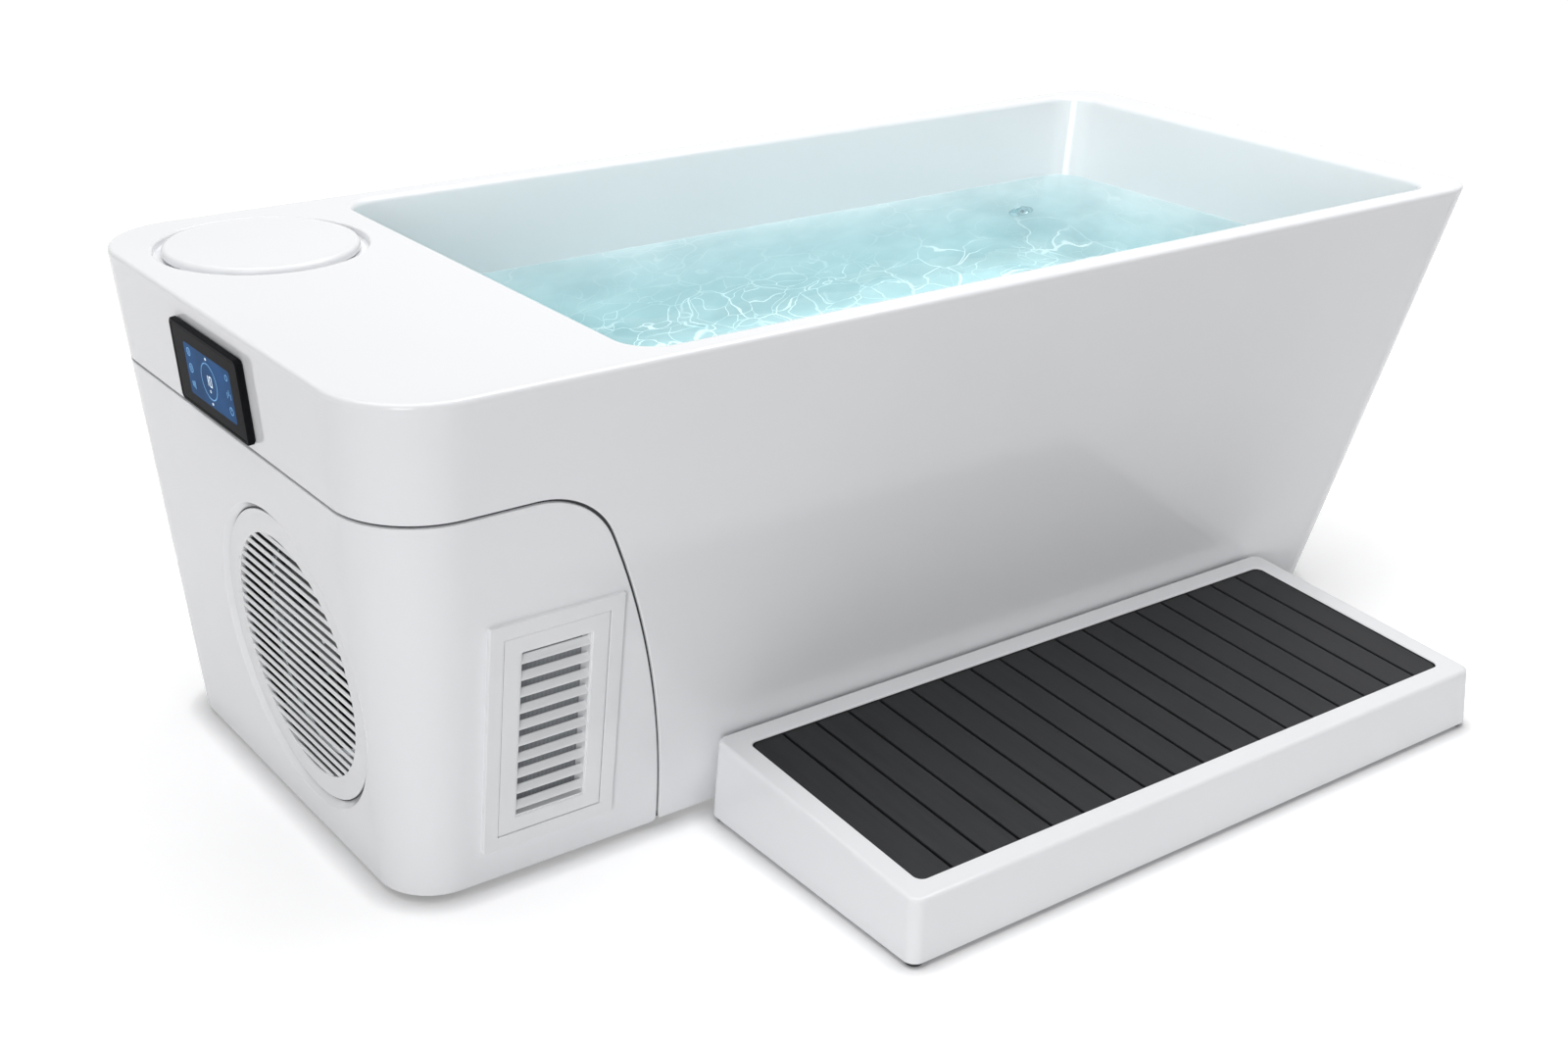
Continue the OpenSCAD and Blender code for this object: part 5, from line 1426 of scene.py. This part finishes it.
@dataclass(frozen=True)
class SideVent:
    """Framed rectangular vent on the cover's front return, whose louvred core swings open."""

    at: tuple[float, float] = Cover.vent_at
    flange: tuple[float, float] = (190.0, 338.0)
    proud: float = 7.0
    core: tuple[float, float] = (148.0, 294.0)
    gap: float = 1.0
    drop: float = 1.0
    deep: float = 22.0
    field: tuple[float, float] = (97.0, 244.0)
    count: int = 10
    blade: tuple[float, float] = (3.0, 12.0)
    tilt: float = 50.0
    pin_r: float = 2.0

    def build_frame(self) -> None:
        """Makes the flange and its sleeve: a rounded profile carried round the opening."""
        place = WALLS.on_front(*self.at)
        w, h = self.flange[0] / 2, self.flange[1] / 2
        iw, ih = self.core[0] / 2 + self.gap, self.core[1] / 2 + self.gap
        edge = eased(w, h, 2.5, self.proud, 1.6)
        lip = eased(iw, ih, 1.2, self.proud, 0.8, 4, inside=True)
        rear, sleeve = -self.deep - 6, 3.5
        rows = [(w, h, 2.5, 0.0), *edge, *lip, (iw, ih, 0.5, rear), (iw + sleeve, ih + sleeve, 1, rear),
                (iw + sleeve, ih + sleeve, 1, 0.0)]
        sheets = [loft(place, rows, closed=True)]
        SHOP.make("vent_flange", sheets, "chiller_cover", WHITE_ABS, ["vent_frame"], "white_abs")

    def build_core(self) -> None:
        """Makes the swinging core: a frame stepped down to its field, ten sloping blades and two pins."""
        place = WALLS.on_front(*self.at)
        front = self.proud - self.drop
        w, h = self.core[0] / 2, self.core[1] / 2
        fw, fh = self.field[0] / 2, self.field[1] / 2
        soft, ledge, field, rear = 0.7, 2.5, front - 1.5, front - self.deep
        rows = [(w, h, 1.2, front - 9), *eased(w, h, 1.2, front, 1.0, 5),
                *eased(fw + ledge, fh + ledge, 1.6, front, soft, 4, inside=True),
                (fw + ledge, fh + ledge, 1.6, field), *eased(fw, fh, 1.2, field, soft, 4, inside=True),
                (fw, fh, 1, rear), (fw + 5, fh + 5, 2, rear), (fw + 5, fh + 5, 2, front - 9)]
        pitch = self.field[1] / self.count
        reach = self.blade[1] / 2 * math.cos(math.radians(self.tilt)) + 1.8
        heights = (np.arange(self.count) + 0.5) * pitch - fh
        middles = np.stack([heights, np.full(self.count, front - reach)], -1)
        section = rounded_section(*self.blade, 1.4)
        half = np.full((self.count, len(section)), fw + 1)
        pins = []
        for side in (-1, 1):
            at = place.at(np.array([4 - w, side * h, front - 3]))
            turn = Place(tuple(at), place.z, place.x, tuple(side * np.array(place.y)))
            pin = [(0, -3), (self.pin_r, -3), (self.pin_r, 4.2), (self.pin_r - 0.8, 5), (0, 5)]
            pins.append(turned(turn, pin, count=24))
        sheets = [loft(place, rows, closed=True), *bars(place, section, middles, self.tilt, half), *pins]
        SHOP.make("vent_louvre", sheets, "vent_core", WHITE_ABS, ["vent_core"], "white_abs")
        # the dust screen's grey is painted shade for the gaps between the blades
        screen = block(place, 2 * fw + 6, 2 * fh + 6, 1, (rear - 0.6, rear))
        SHOP.make("vent_dust_screen_gap_shade", [screen], "vent_core", SCREEN_CLOTH_GAP_SHADE)


@dataclass(frozen=True)
class Lid:
    """Round filter lid: a low disc with a soft edge, ribs and a skirt under it."""

    at: tuple[float, float] = Basin.lid_at
    radius: float = 132.5
    seat: float = 692.5
    thick: float = 12.0
    edge: float = 7.0
    skirt: tuple[float, float, float] = (97.0, 4.0, 12.0)

    def build(self) -> None:
        """Makes the lid as one turned profile: a flat top, a rounded edge, a hollow and a skirt."""
        place = Place((*self.at, self.seat))
        top = np.array([(0.0, self.thick), (60.0, self.thick), (self.radius - 16, self.thick)])
        r, wall, deep = self.skirt
        edge, under = self.edge, self.thick - 5
        rows = np.concatenate([top, arc((self.radius - edge, self.thick - edge), edge, 90, 0, 10),
                               arc((self.radius - 2, 2), 2, 0, -90, 4),
                               [(r, 0), (r, -deep), (r - wall, -deep), (r - wall, under), (0, under)]])
        ribs = []
        for angle in (0, 60, 120):
            c, s = cos_sin(angle)
            ribs.append(block(Place(place.origin, (c, s, 0), (-s, c, 0)), 2 * r - 10, 3.0, 0.6,
                              (self.thick - 10, self.thick - 4.8)))
        sheets = [turned(place, rows, count=160), *ribs]
        SHOP.make("lid", sheets, "filter_lid", ACRYLIC, ["filter_lid"], "acrylic_lid")


@dataclass(frozen=True)
class Screen:
    """Touch screen: a black frame, its glass, and a lit display with a ring, a number and plain signs."""

    at: tuple[float, float] = Skirt.screen_hole[:2]
    size: tuple[float, float] = (215.0, 112.0)
    base: float = 1.5
    thick: float = 9.0
    corner: float = 8.0
    edge: float = 5.0
    glass: float = 2.0
    drop: float = 0.5
    can: tuple[float, float, float] = (175.0, 78.0, 34.0)
    lit: tuple[float, float, float, float] = (6.0, -1.0, 146.0, 70.0)
    mark: tuple[float, float] = (0.05, 0.14)

    def build_frame(self) -> None:
        """Makes the frame with its pocket and the can behind it."""
        place = WALLS.on_left(*self.at)
        w, h, front = self.size[0] / 2, self.size[1] / 2, self.base + self.thick
        edge = eased(w, h, self.corner, front, 2.0)
        pw, ph, floor = w - self.edge, h - self.edge, front - self.glass - self.drop
        rows = [(w - 1, h - 1, self.corner - 1, self.base), (w, h, self.corner, self.base + 1), *edge,
                (pw + 0.3, ph + 0.3, 5, front), (pw, ph, 5, front - 0.3), (pw, ph, 5, floor)]
        cw, ch, deep = self.can[0] / 2, self.can[1] / 2, self.can[2]
        can = [(cw - 2, ch - 2, 2, -deep), (cw, ch, 3, 2 - deep), (cw, ch, 3, self.base + 0.2)]
        stub = [(0, -deep - 10), (8, -deep - 10), (9, -deep - 8), (9, 1 - deep), (0, 1 - deep)]
        gland = turned(place.moved(y=-ch / 2), stub, count=40)
        sheets = [loft(place, rows, turn=10), loft(place, can), gland]
        SHOP.make("screen_frame", sheets, "tub", BEZEL, ["screen_bezel"], "bezel_black")

    def build_glass(self) -> None:
        """Makes the glass with a fine ground edge."""
        place = WALLS.on_left(*self.at)
        w, h = self.size[0] / 2 - self.edge - 0.2, self.size[1] / 2 - self.edge - 0.2
        top = self.base + self.thick - self.drop
        rows = [(w, h, 5, top - self.glass), (w, h, 5, top - 0.4), (w - 0.4, h - 0.4, 4.6, top)]
        SHOP.make("screen_pane", [loft(place, rows)], "tub", GLASS, ["screen_panel"], "screen_glass")

    def on_glass(self, x: float, y: float) -> Place:
        """Frame on the front of the glass."""
        return WALLS.on_left(*self.at).moved(x, y, self.base + self.thick - self.drop)

    def flat(self, x: float, y: float, w: float, h: float, r: float,
             span: tuple[float, float] = mark) -> Sheet:
        """A thin rounded plate on the glass: its middle, its two sizes, its corner and its heights."""
        return block(self.on_glass(x, y), w, h, r, span, turn=3)

    def ring(self, x: float, y: float, r: float, wide: float, count: int = 64) -> Sheet:
        """A thin ring on the glass: its middle, its mean radius, its width and the points in a turn."""
        near, far, (low, high) = r - wide / 2, r + wide / 2, self.mark
        rows = [(near, low), (far, low), (far, high), (near, high)]
        return turned(self.on_glass(x, y), rows, closed=True, count=count)

    def digit(self, x: float, y: float, lit: str, high: float = 13.0) -> list[Sheet]:
        """Bars of a seven-bar figure.

        Args:
            x: middle of the figure.
            y: middle of the figure.
            lit: letters of the bars that are on, a to g.
            high: height of the figure.

        Returns:
            One plate for each bar.
        """
        w, t = high * 0.48, high * 0.10
        half = high / 2
        bar = {"a": (0, half, w, t), "b": (w / 2, half / 2, t, half), "c": (w / 2, -half / 2, t, half),
               "d": (0, -half, w, t), "e": (-w / 2, -half / 2, t, half), "f": (-w / 2, half / 2, t, half),
               "g": (0, 0, w, t)}
        on = [bar[letter] for letter in lit]
        return [self.flat(x + a, y + b, c + t * 0.4, d + t * 0.4, t * 0.45) for a, b, c, d in on]

    def build_display(self) -> None:
        """Makes the lit field, and on it the ring and signs, and the number ten with its dots."""
        x, y, w, h = self.lit
        field = self.flat(x, y, w, h, 4.0, (0.0, 0.05))
        SHOP.make("display_field", [field], "tub", DISPLAY)
        signs = [self.ring(x - 2, y, 24.0, 1.5)]
        left, right, rows = x - 59, x + 61, (23.0, 1.0, -21.0)
        signs += [self.ring(left, rows[0], 5.0, 1.4, 32), self.flat(left, rows[0], 1.6, 6.0, 0.7)]
        signs += [self.ring(left, rows[1], 5.5, 1.4, 32), self.ring(left, rows[1], 2.2, 1.2, 24)]
        signs += [self.flat(left - 4 + 4 * i, rows[2], 2.2, 7.0 + 2.0 * i, 0.9) for i in range(3)]
        signs += [self.ring(right, rows[0], 3.6, 1.3, 32)]
        signs += [self.flat(right + side, rows[1] + up, 1.6, 8.0, 0.7)
                  for side, up in ((-5, -2), (0, 2), (5, -2))]
        signs += [self.ring(right, rows[2], 5.0, 1.3, 32), self.flat(right, rows[2] + 2, 1.4, 4.0, 0.6)]
        SHOP.make("display_signs", signs, "tub", RING_LIGHT)
        marks = self.digit(x - 8, y + 1, "bc") + self.digit(x + 3, y + 1, "abcdef")
        marks += [self.flat(x - 2, y + 30, 5.0, 3.2, 1.4), self.flat(x - 2, y - 30, 5.0, 3.2, 1.4),
                  self.ring(x - 2, y - 13, 1.6, 1.0, 24)]
        SHOP.make("display_figures", marks, "tub", FIGURE_LIGHT)

    def build(self) -> None:
        """Makes the whole screen."""
        self.build_frame()
        self.build_glass()
        self.build_display()


@dataclass(frozen=True)
class Step:
    """Loose step: a moulded shell whose top slopes to the front, with a recess full of dark slats."""

    x: float = 497.0
    length: float = 1080.0
    rear: float = 72.96267
    depth: float = 431.96267
    front_high: float = 93.0
    rear_high: float = 123.0
    foot: float = 6.0
    corner: float = 16.0
    edge: float = 6.0
    flare: float = 5.0
    wall: float = 6.0
    rim: float = 40.0
    count: int = 18
    slat_gap: float = 4.0
    slat_thick: float = 14.0
    slat_drop: float = 3.0
    slat_corner: float = 12.0
    side_gap: float = 1.5
    slat_edge: float = 1.8
    rib_high: float = 12.0

    def slope(self) -> float:
        """Slope of the top in radians."""
        return math.atan((self.rear_high - self.front_high) / self.depth)

    def crown(self) -> Place:
        """Lays a frame on the sloping top.

        Returns:
            The frame, at the top's middle and with z out of it.
        """
        s, c = math.sin(self.slope()), math.cos(self.slope())
        middle = (self.x + self.length / 2, self.rear - self.depth / 2,
                  (self.front_high + self.rear_high) / 2)
        return Place(middle, (1, 0, 0), (0, c, s), (0, -s, c))

    def field(self) -> tuple[float, float]:
        """Length and depth of the slatted field on the sloping top."""
        return self.length - 2 * self.rim, (self.depth - 2 * self.rim) / math.cos(self.slope())

    def build_shell(self) -> None:
        """Makes the shell as rings: foot, sloping crown, recess with a rounded lip, and inside.

        Rows on the foot lie level; rows on the crown lie in its sloping frame.
        """
        crown = self.crown()
        level = Place((crown.origin[0], crown.origin[1], 0.0))
        w, h, ch = self.length / 2, self.depth / 2, self.depth / math.cos(self.slope()) / 2
        run, deep = self.field()
        deepest = -self.slat_drop - self.slat_thick - self.rib_high
        corner, wall = self.corner, self.wall
        cw, cd = w - self.flare, ch - self.flare
        rounded = eased(cw, cd, corner, 0.0, self.edge, 8, follow=True)
        rw, rh, lip = run / 2 + self.side_gap, deep / 2 + self.side_gap, 2.5
        inner = eased(rw, rh, self.slat_corner, 0.0, lip, inside=True, follow=True)
        pit = [(rw, rh, self.slat_corner, deepest)]
        base = [(w - 2, h - 2, corner - 2, self.foot), (w - 0.6, h - 0.6, corner, self.foot + 0.6),
                (w, h, corner, self.foot + 2)]
        hollow_top = [(cw - wall, cd - wall, corner - wall, deepest - wall)]
        hollow_foot = [(w - wall - self.flare, h - wall - self.flare, corner - wall, self.foot)]
        outer, under = (np.concatenate([loft(place, rows, turn=10).points for place, rows in rings])
                        for rings in (((level, base), (crown, rounded), (crown, inner), (crown, pit)),
                                      ((crown, hollow_top), (level, hollow_foot))))
        shell = Sheet(np.concatenate([outer, pole(outer[-1]), pole(under[0]), under]), round_rows=True)
        ribs = [block(crown.moved(y=y), run, 30, 1, (deepest - 1, deepest + self.rib_high))
                for y in (-deep / 3, 0.0, deep / 3)]
        mesh = SHOP.mesh("step_body", [shell, *ribs])
        self.dress(mesh, (rw, rh, deepest))
        SHOP.piece("step_body", mesh, "step", ACRYLIC, ["step_shell"], "acrylic_step")

    def dress(self, mesh: Mesh, pit: tuple[float, float, float]) -> None:
        """Lines the pit under the slats with dark rubber as painted shade, so that the gaps between them
        stay dark.

        Args:
            mesh: the shell.
            pit: the pit's half length, half depth and floor in the crown's frame.
        """
        crown = self.crown()
        x, y, z = ((face_frames(mesh)[0] - crown.origin) @ np.array([crown.x, crown.y, crown.z]).T).T
        within = (np.abs(x) < pit[0] + 0.2) & (np.abs(y) < pit[1] + 0.2)
        # the dark rubber lining is painted shade under the slats' gaps
        pit_shade = within & (z > pit[2] - 1.2) & (z < -self.slat_drop - 1)
        SHOP.paint(mesh, ACRYLIC, RUBBER, pit_shade)

    def build_slats(self) -> None:
        """Makes the slats: flat boards with eased edges, the end ones rounded at the field's corners."""
        crown, (run, deep) = self.crown(), self.field()
        pitch = (run + self.slat_gap) / self.count
        wide, e = pitch - self.slat_gap, self.slat_edge
        top, ease = -self.slat_drop, arc((0.0, 0.0), e, 0, 90, 6)
        inset = np.concatenate([[e * 0.5, 0.0], e - ease[:, 0]])
        z = np.concatenate([[top - self.slat_thick, top - self.slat_thick + e], top - e + ease[:, 1]])
        for number in range(self.count):
            place = crown.moved(-run / 2 + number * pitch + wide / 2)
            left = self.slat_corner if number == 0 else e
            right = self.slat_corner if number == self.count - 1 else e
            levels = np.stack([z, inset - wide / 2, inset - deep / 2, wide / 2 - inset, deep / 2 - inset,
                               np.maximum(left - inset, 0.3), np.maximum(right - inset, 0.3)], -1)
            sheet = Sheet(place.at(Columns.even(1, 1, 6).rings(levels)))
            name = f"step_slat_{number + 1:02d}"
            mesh = SHOP.mesh(name, [sheet])
            SHOP.piece(f"slat_{number + 1:02d}", mesh, "step", SLAT, [name], "slat_composite")

    def build(self) -> None:
        """Makes the shell and the slats."""
        self.build_shell()
        self.build_slats()


@dataclass(frozen=True)
class WallFitting:
    """Chrome return jet on the basin's far wall."""

    at: tuple[float, float] = (1695.0, 375.0)
    radius: float = 30.0

    def build(self) -> None:
        """Turns the flange with a rounded rim, a cone, a bored nozzle and the tail behind the wall."""
        place, r = WALLS.on_far_wall(*self.at), self.radius
        rows = np.concatenate([[(8, -24), (15, -24), (15, -5), (13, -5), (13, 0), (r, 0)],
                               arc((r - 2, 1.5), 2.0, 0, 70, 5), [(r - 6, 6.2)],
                               arc((19, 6.0), 2.0, 80, 180, 7), [(15, 3.5), (8, 2)]])
        cross = [block(place.moved(z=3.4), a, b, 1, (-1.4, 1.4)) for a, b in ((30, 3), (3, 30))]
        sheets = [turned(place, rows, closed=True), *cross]
        SHOP.make("wall_jet", sheets, "tub", CHROME, ["return_jet"], "chrome")


@dataclass(frozen=True)
class Carried:
    """Solids whose shape is right: a merged copy with smooth rounds and eased edges, in its own finish."""

    edge_mm: float = 0.7
    sharp: float = 28.0
    flat: float = 0.5
    eased_from: float = 40.0
    merge_m: float = 2e-6
    plain: tuple[str, ...] = ("refrigerant_lines", "return_pipe", "filter_pipe", "pressure_pipe",
                              "basin_insulation", "condenser_coil", "filter_cartridge")

    def build(self, node: str, body: str, slot: str) -> None:
        """Copies one solid's mesh, merges its loose triangles and dresses it.

        Args:
            node: the solid.
            body: the body that it rides on.
            slot: its material slot.
        """
        mesh = frame["nodes"][node].data.copy()
        mesh.materials.clear()
        work = bmesh.new()
        work.from_mesh(mesh)
        bmesh.ops.remove_doubles(work, verts=work.verts, dist=self.merge_m)
        bmesh.ops.dissolve_limit(work, angle_limit=math.radians(self.flat), verts=work.verts,
                                 edges=work.edges)
        # a wall inside, where two lengths of one solid meet, goes: half its edges or more have three faces
        inner = [face for face in work.faces
                 if 2 * sum(len(edge.link_faces) > 2 for edge in face.edges) >= len(face.edges)]
        bmesh.ops.delete(work, geom=inner, context="FACES")
        work.to_mesh(mesh)
        work.free()
        made = SHOP.piece(f"{node}.finished", mesh, body, SLOT_FINISH[slot], [node], slot, self.sharp)
        if node not in self.plain:
            ease = made.modifiers.new("eased_edges", "BEVEL")
            ease.width, ease.segments, ease.limit_method = self.edge_mm / MM, 2, "ANGLE"
            ease.angle_limit, ease.use_clamp_overlap = math.radians(self.eased_from), True
            made.modifiers.move(len(made.modifiers) - 1, 0)


# ------------------------------------------------------------------------------------------------ studio


def posed(axes: Array, at: Array) -> Matrix:
    """World matrix from three axes, in columns, and a place."""
    return Matrix(np.vstack([np.column_stack([axes, at]), (0, 0, 0, 1)]).tolist())


@dataclass(frozen=True)
class Lamp:
    """A soft rectangular panel: its place and aim in metres, its two sides and its power in watts."""

    name: str
    at: tuple[float, float, float]
    aim: tuple[float, float, float]
    size: tuple[float, float]
    power: float

    def hang(self) -> None:
        """Hangs the panel facing its aim, with its first side level."""
        lamp = bpy.data.lights.new(self.name, "AREA")
        lamp.shape, lamp.size, lamp.size_y, lamp.energy = "RECTANGLE", *self.size, self.power
        hung = bpy.data.objects.new(self.name, lamp)
        ahead = unit(np.array(self.aim) - np.array(self.at))
        side = unit(np.cross(ahead, (0.0, 1.0, 0.001)))
        hung.matrix_world = posed(np.stack([side, np.cross(-ahead, side), -ahead], -1), self.at)
        bpy.context.scene.collection.objects.link(hung)


@dataclass(frozen=True)
class Studio:
    """Camera at the photograph's place, a pale floor and plain soft light.

    The floor's lift is given as distances from the tub's middle, in metres, and the share of white there.
    """

    focal_px: float = 2074.257
    image_px: float = 1600.0
    sensor_mm: float = 36.0
    camera_at: tuple[float, float, float] = (-855.0226, -1886.8187, 1468.2762)
    right: tuple[float, float, float] = (0.80465005, -0.59346096, 0.01850356)
    down: tuple[float, float, float] = (-0.22228664, -0.32999445, -0.91743791)
    ahead: tuple[float, float, float] = (0.55056965, 0.73410336, -0.39744850)
    sky: float = 0.16
    lamps: tuple[Lamp, ...] = (Lamp("overhead", (0.2, 0.5, 5.0), (0.2, 0.51, 0.0), (6.0, 4.2), 190.0),
                               Lamp("over_basin", (0.5, -0.12, 2.4), (0.5, -0.119, 0.0), (1.5, 0.6), 9.0),
                               Lamp("key", (-9.4, -9.4, 3.2), (0.0, 0.0, 0.4), (7.0, 5.0), 725.0))
    floor_half: float = 14000.0
    lift: tuple[tuple[float, float], ...] = ((1.2, 0.41), (3.6, 0.8), (9.0, 1.0))
    contact: float = 0.035
    contact_power: float = 3.0

    def camera(self) -> None:
        """Sets the camera: its axes are the fitted right, up and backward directions."""
        lens = bpy.data.cameras.new("photo_camera")
        lens.sensor_fit, lens.sensor_width = "HORIZONTAL", self.sensor_mm
        lens.lens = self.focal_px / self.image_px * self.sensor_mm
        lens.clip_start, lens.clip_end = 0.05, 60.0
        eye = bpy.data.objects.new("photo_camera", lens)
        axes = np.stack([self.right, -np.array(self.down), -np.array(self.ahead)], -1)
        eye.matrix_world = posed(axes, (np.array(self.camera_at) - SHOP.origin) / MM)
        bpy.context.scene.collection.objects.link(eye)
        bpy.context.scene.camera = eye

    def seen(self, tree: NodeTree) -> NodeSocket:
        """Tells sight lines from lighting.

        Args:
            tree: the floor's or the world's node tree.

        Returns:
            An output of 1 for rays from the camera, or by way of a mirror, glass or water, and 0 for
            the rest.
        """
        path = add_node(tree, "LightPath").outputs
        found = path["Is Camera Ray"]
        for name in ("Is Glossy Ray", "Is Transmission Ray"):
            found = add_node(tree, "Math", {0: found, 1: path[name]}, operation="MAXIMUM").outputs["Value"]
        return found

    def floor(self) -> None:
        """Lays a broad pale floor that shows white to the camera and keeps the object's shadow.

        A diffuse white carries the shadow, and a little plain light for the camera, and for mirrors and
        water, lifts it to white. The lift grows with the distance from the tub, where no shadow falls, and
        fails close under an edge, where little of the sky is open.
        """
        grid = np.linspace(-self.floor_half, self.floor_half, 5)
        x, y = np.meshgrid(grid, grid, indexing="ij")
        points = np.stack([x, y, np.zeros_like(x)], -1)
        mesh = bpy.data.meshes.new("floor")
        mesh.from_pydata((points / MM).reshape(-1, 3), [], Sheet(points, round_cols=False).quads(0))
        made = bpy.data.objects.new("floor", mesh)
        bpy.context.scene.collection.objects.link(made)
        paper = bpy.data.materials.new("seamless_white_paper")
        paper.use_nodes = True
        tree = paper.node_tree
        tree.nodes.remove(tree.nodes["Principled BSDF"])
        place = add_node(tree, "TexCoord").outputs["Object"]
        fibre = add_node(tree, "TexNoise", {"Vector": place, "Scale": 1.5, "Detail": 2.0})
        tone = add_node(tree, "ValToRGB", {"Fac": fibre.outputs["Fac"]},
                        ramp=((0.3, "#f3f3f4"), (0.7, "#f5f5f6")))
        matt = add_node(tree, "BsdfDiffuse", {"Color": tone.outputs["Color"]})
        away = add_node(tree, "VectorMath", {0: place}, operation="LENGTH").outputs["Value"]
        levels = [add_node(tree, "MapRange", {"Value": away, "From Min": near[0], "From Max": far[0],
                                              "To Min": near[1] * (number == 0),
                                              "To Max": far[1] - near[1] * (number > 0)},
                           interpolation_type="SMOOTHSTEP").outputs["Result"]
                  for number, (near, far) in enumerate(zip(self.lift, self.lift[1:]))]
        level = add_node(tree, "Math", {0: levels[0], 1: levels[1]}, operation="ADD")
        open_sky = add_node(tree, "AmbientOcclusion", {"Distance": self.contact}, samples=8).outputs["AO"]
        clear = add_node(tree, "Math", {0: open_sky, 1: self.contact_power},
                         operation="POWER").outputs["Value"]
        lift = add_node(tree, "Math", {0: self.seen(tree), 1: level.outputs["Value"]}, operation="MULTIPLY")
        lift = add_node(tree, "Math", {0: lift.outputs["Value"], 1: clear}, operation="MULTIPLY")
        light = add_node(tree, "Emission", {"Strength": lift.outputs["Value"]})
        both = add_node(tree, "AddShader", {0: matt.outputs["BSDF"], 1: light.outputs["Emission"]})
        tree.links.new(both.outputs["Shader"], tree.nodes["Material Output"].inputs["Surface"])
        mesh.materials.append(paper)
        made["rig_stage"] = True

    def light(self) -> None:
        """Sets the room's even light and hangs the lamps: overhead, over the basin and a key at left."""
        scene = bpy.context.scene
        world = bpy.data.worlds.new("pale_room")
        world.use_nodes = True
        tree = world.node_tree
        level = add_node(tree, "MapRange", {"Value": self.seen(tree), "To Min": self.sky, "To Max": 1.0})
        back = tree.nodes["Background"]
        back.inputs["Color"].default_value = linear("#ffffff")
        tree.links.new(level.outputs["Result"], back.inputs["Strength"])
        scene.world = world
        for lamp in self.lamps:
            lamp.hang()
        scene.view_settings.view_transform = "Standard"


def main() -> None:
    """Builds the studio, then the tub's pieces in order, then dresses the solids that are left."""
    logging.basicConfig(level=logging.INFO, format="%(message)s")
    studio = Studio()
    studio.camera()
    studio.floor()
    studio.light()
    basin, vent = Basin(), SideVent()
    basin.build()
    basin.fill()
    Skirt().build()
    Cover().build()
    RoundGrille().build()
    vent.build_frame()
    vent.build_core()
    Lid().build()
    Screen().build()
    Step().build()
    WallFitting().build()
    stood_for = {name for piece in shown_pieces() for name in piece.get("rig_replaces", ())}
    record = frame["record"]
    bodies = {node: body for body, nodes in record["behaviour"]["bodies"].items() for node in nodes}
    slots = {part["node"]: part["material_slot"] for part in record["subparts"]}
    for node in sorted(set(frame["nodes"]) - stood_for):
        Carried().build(node, bodies[node], slots[node])


if __name__ == "__main__":
    main()
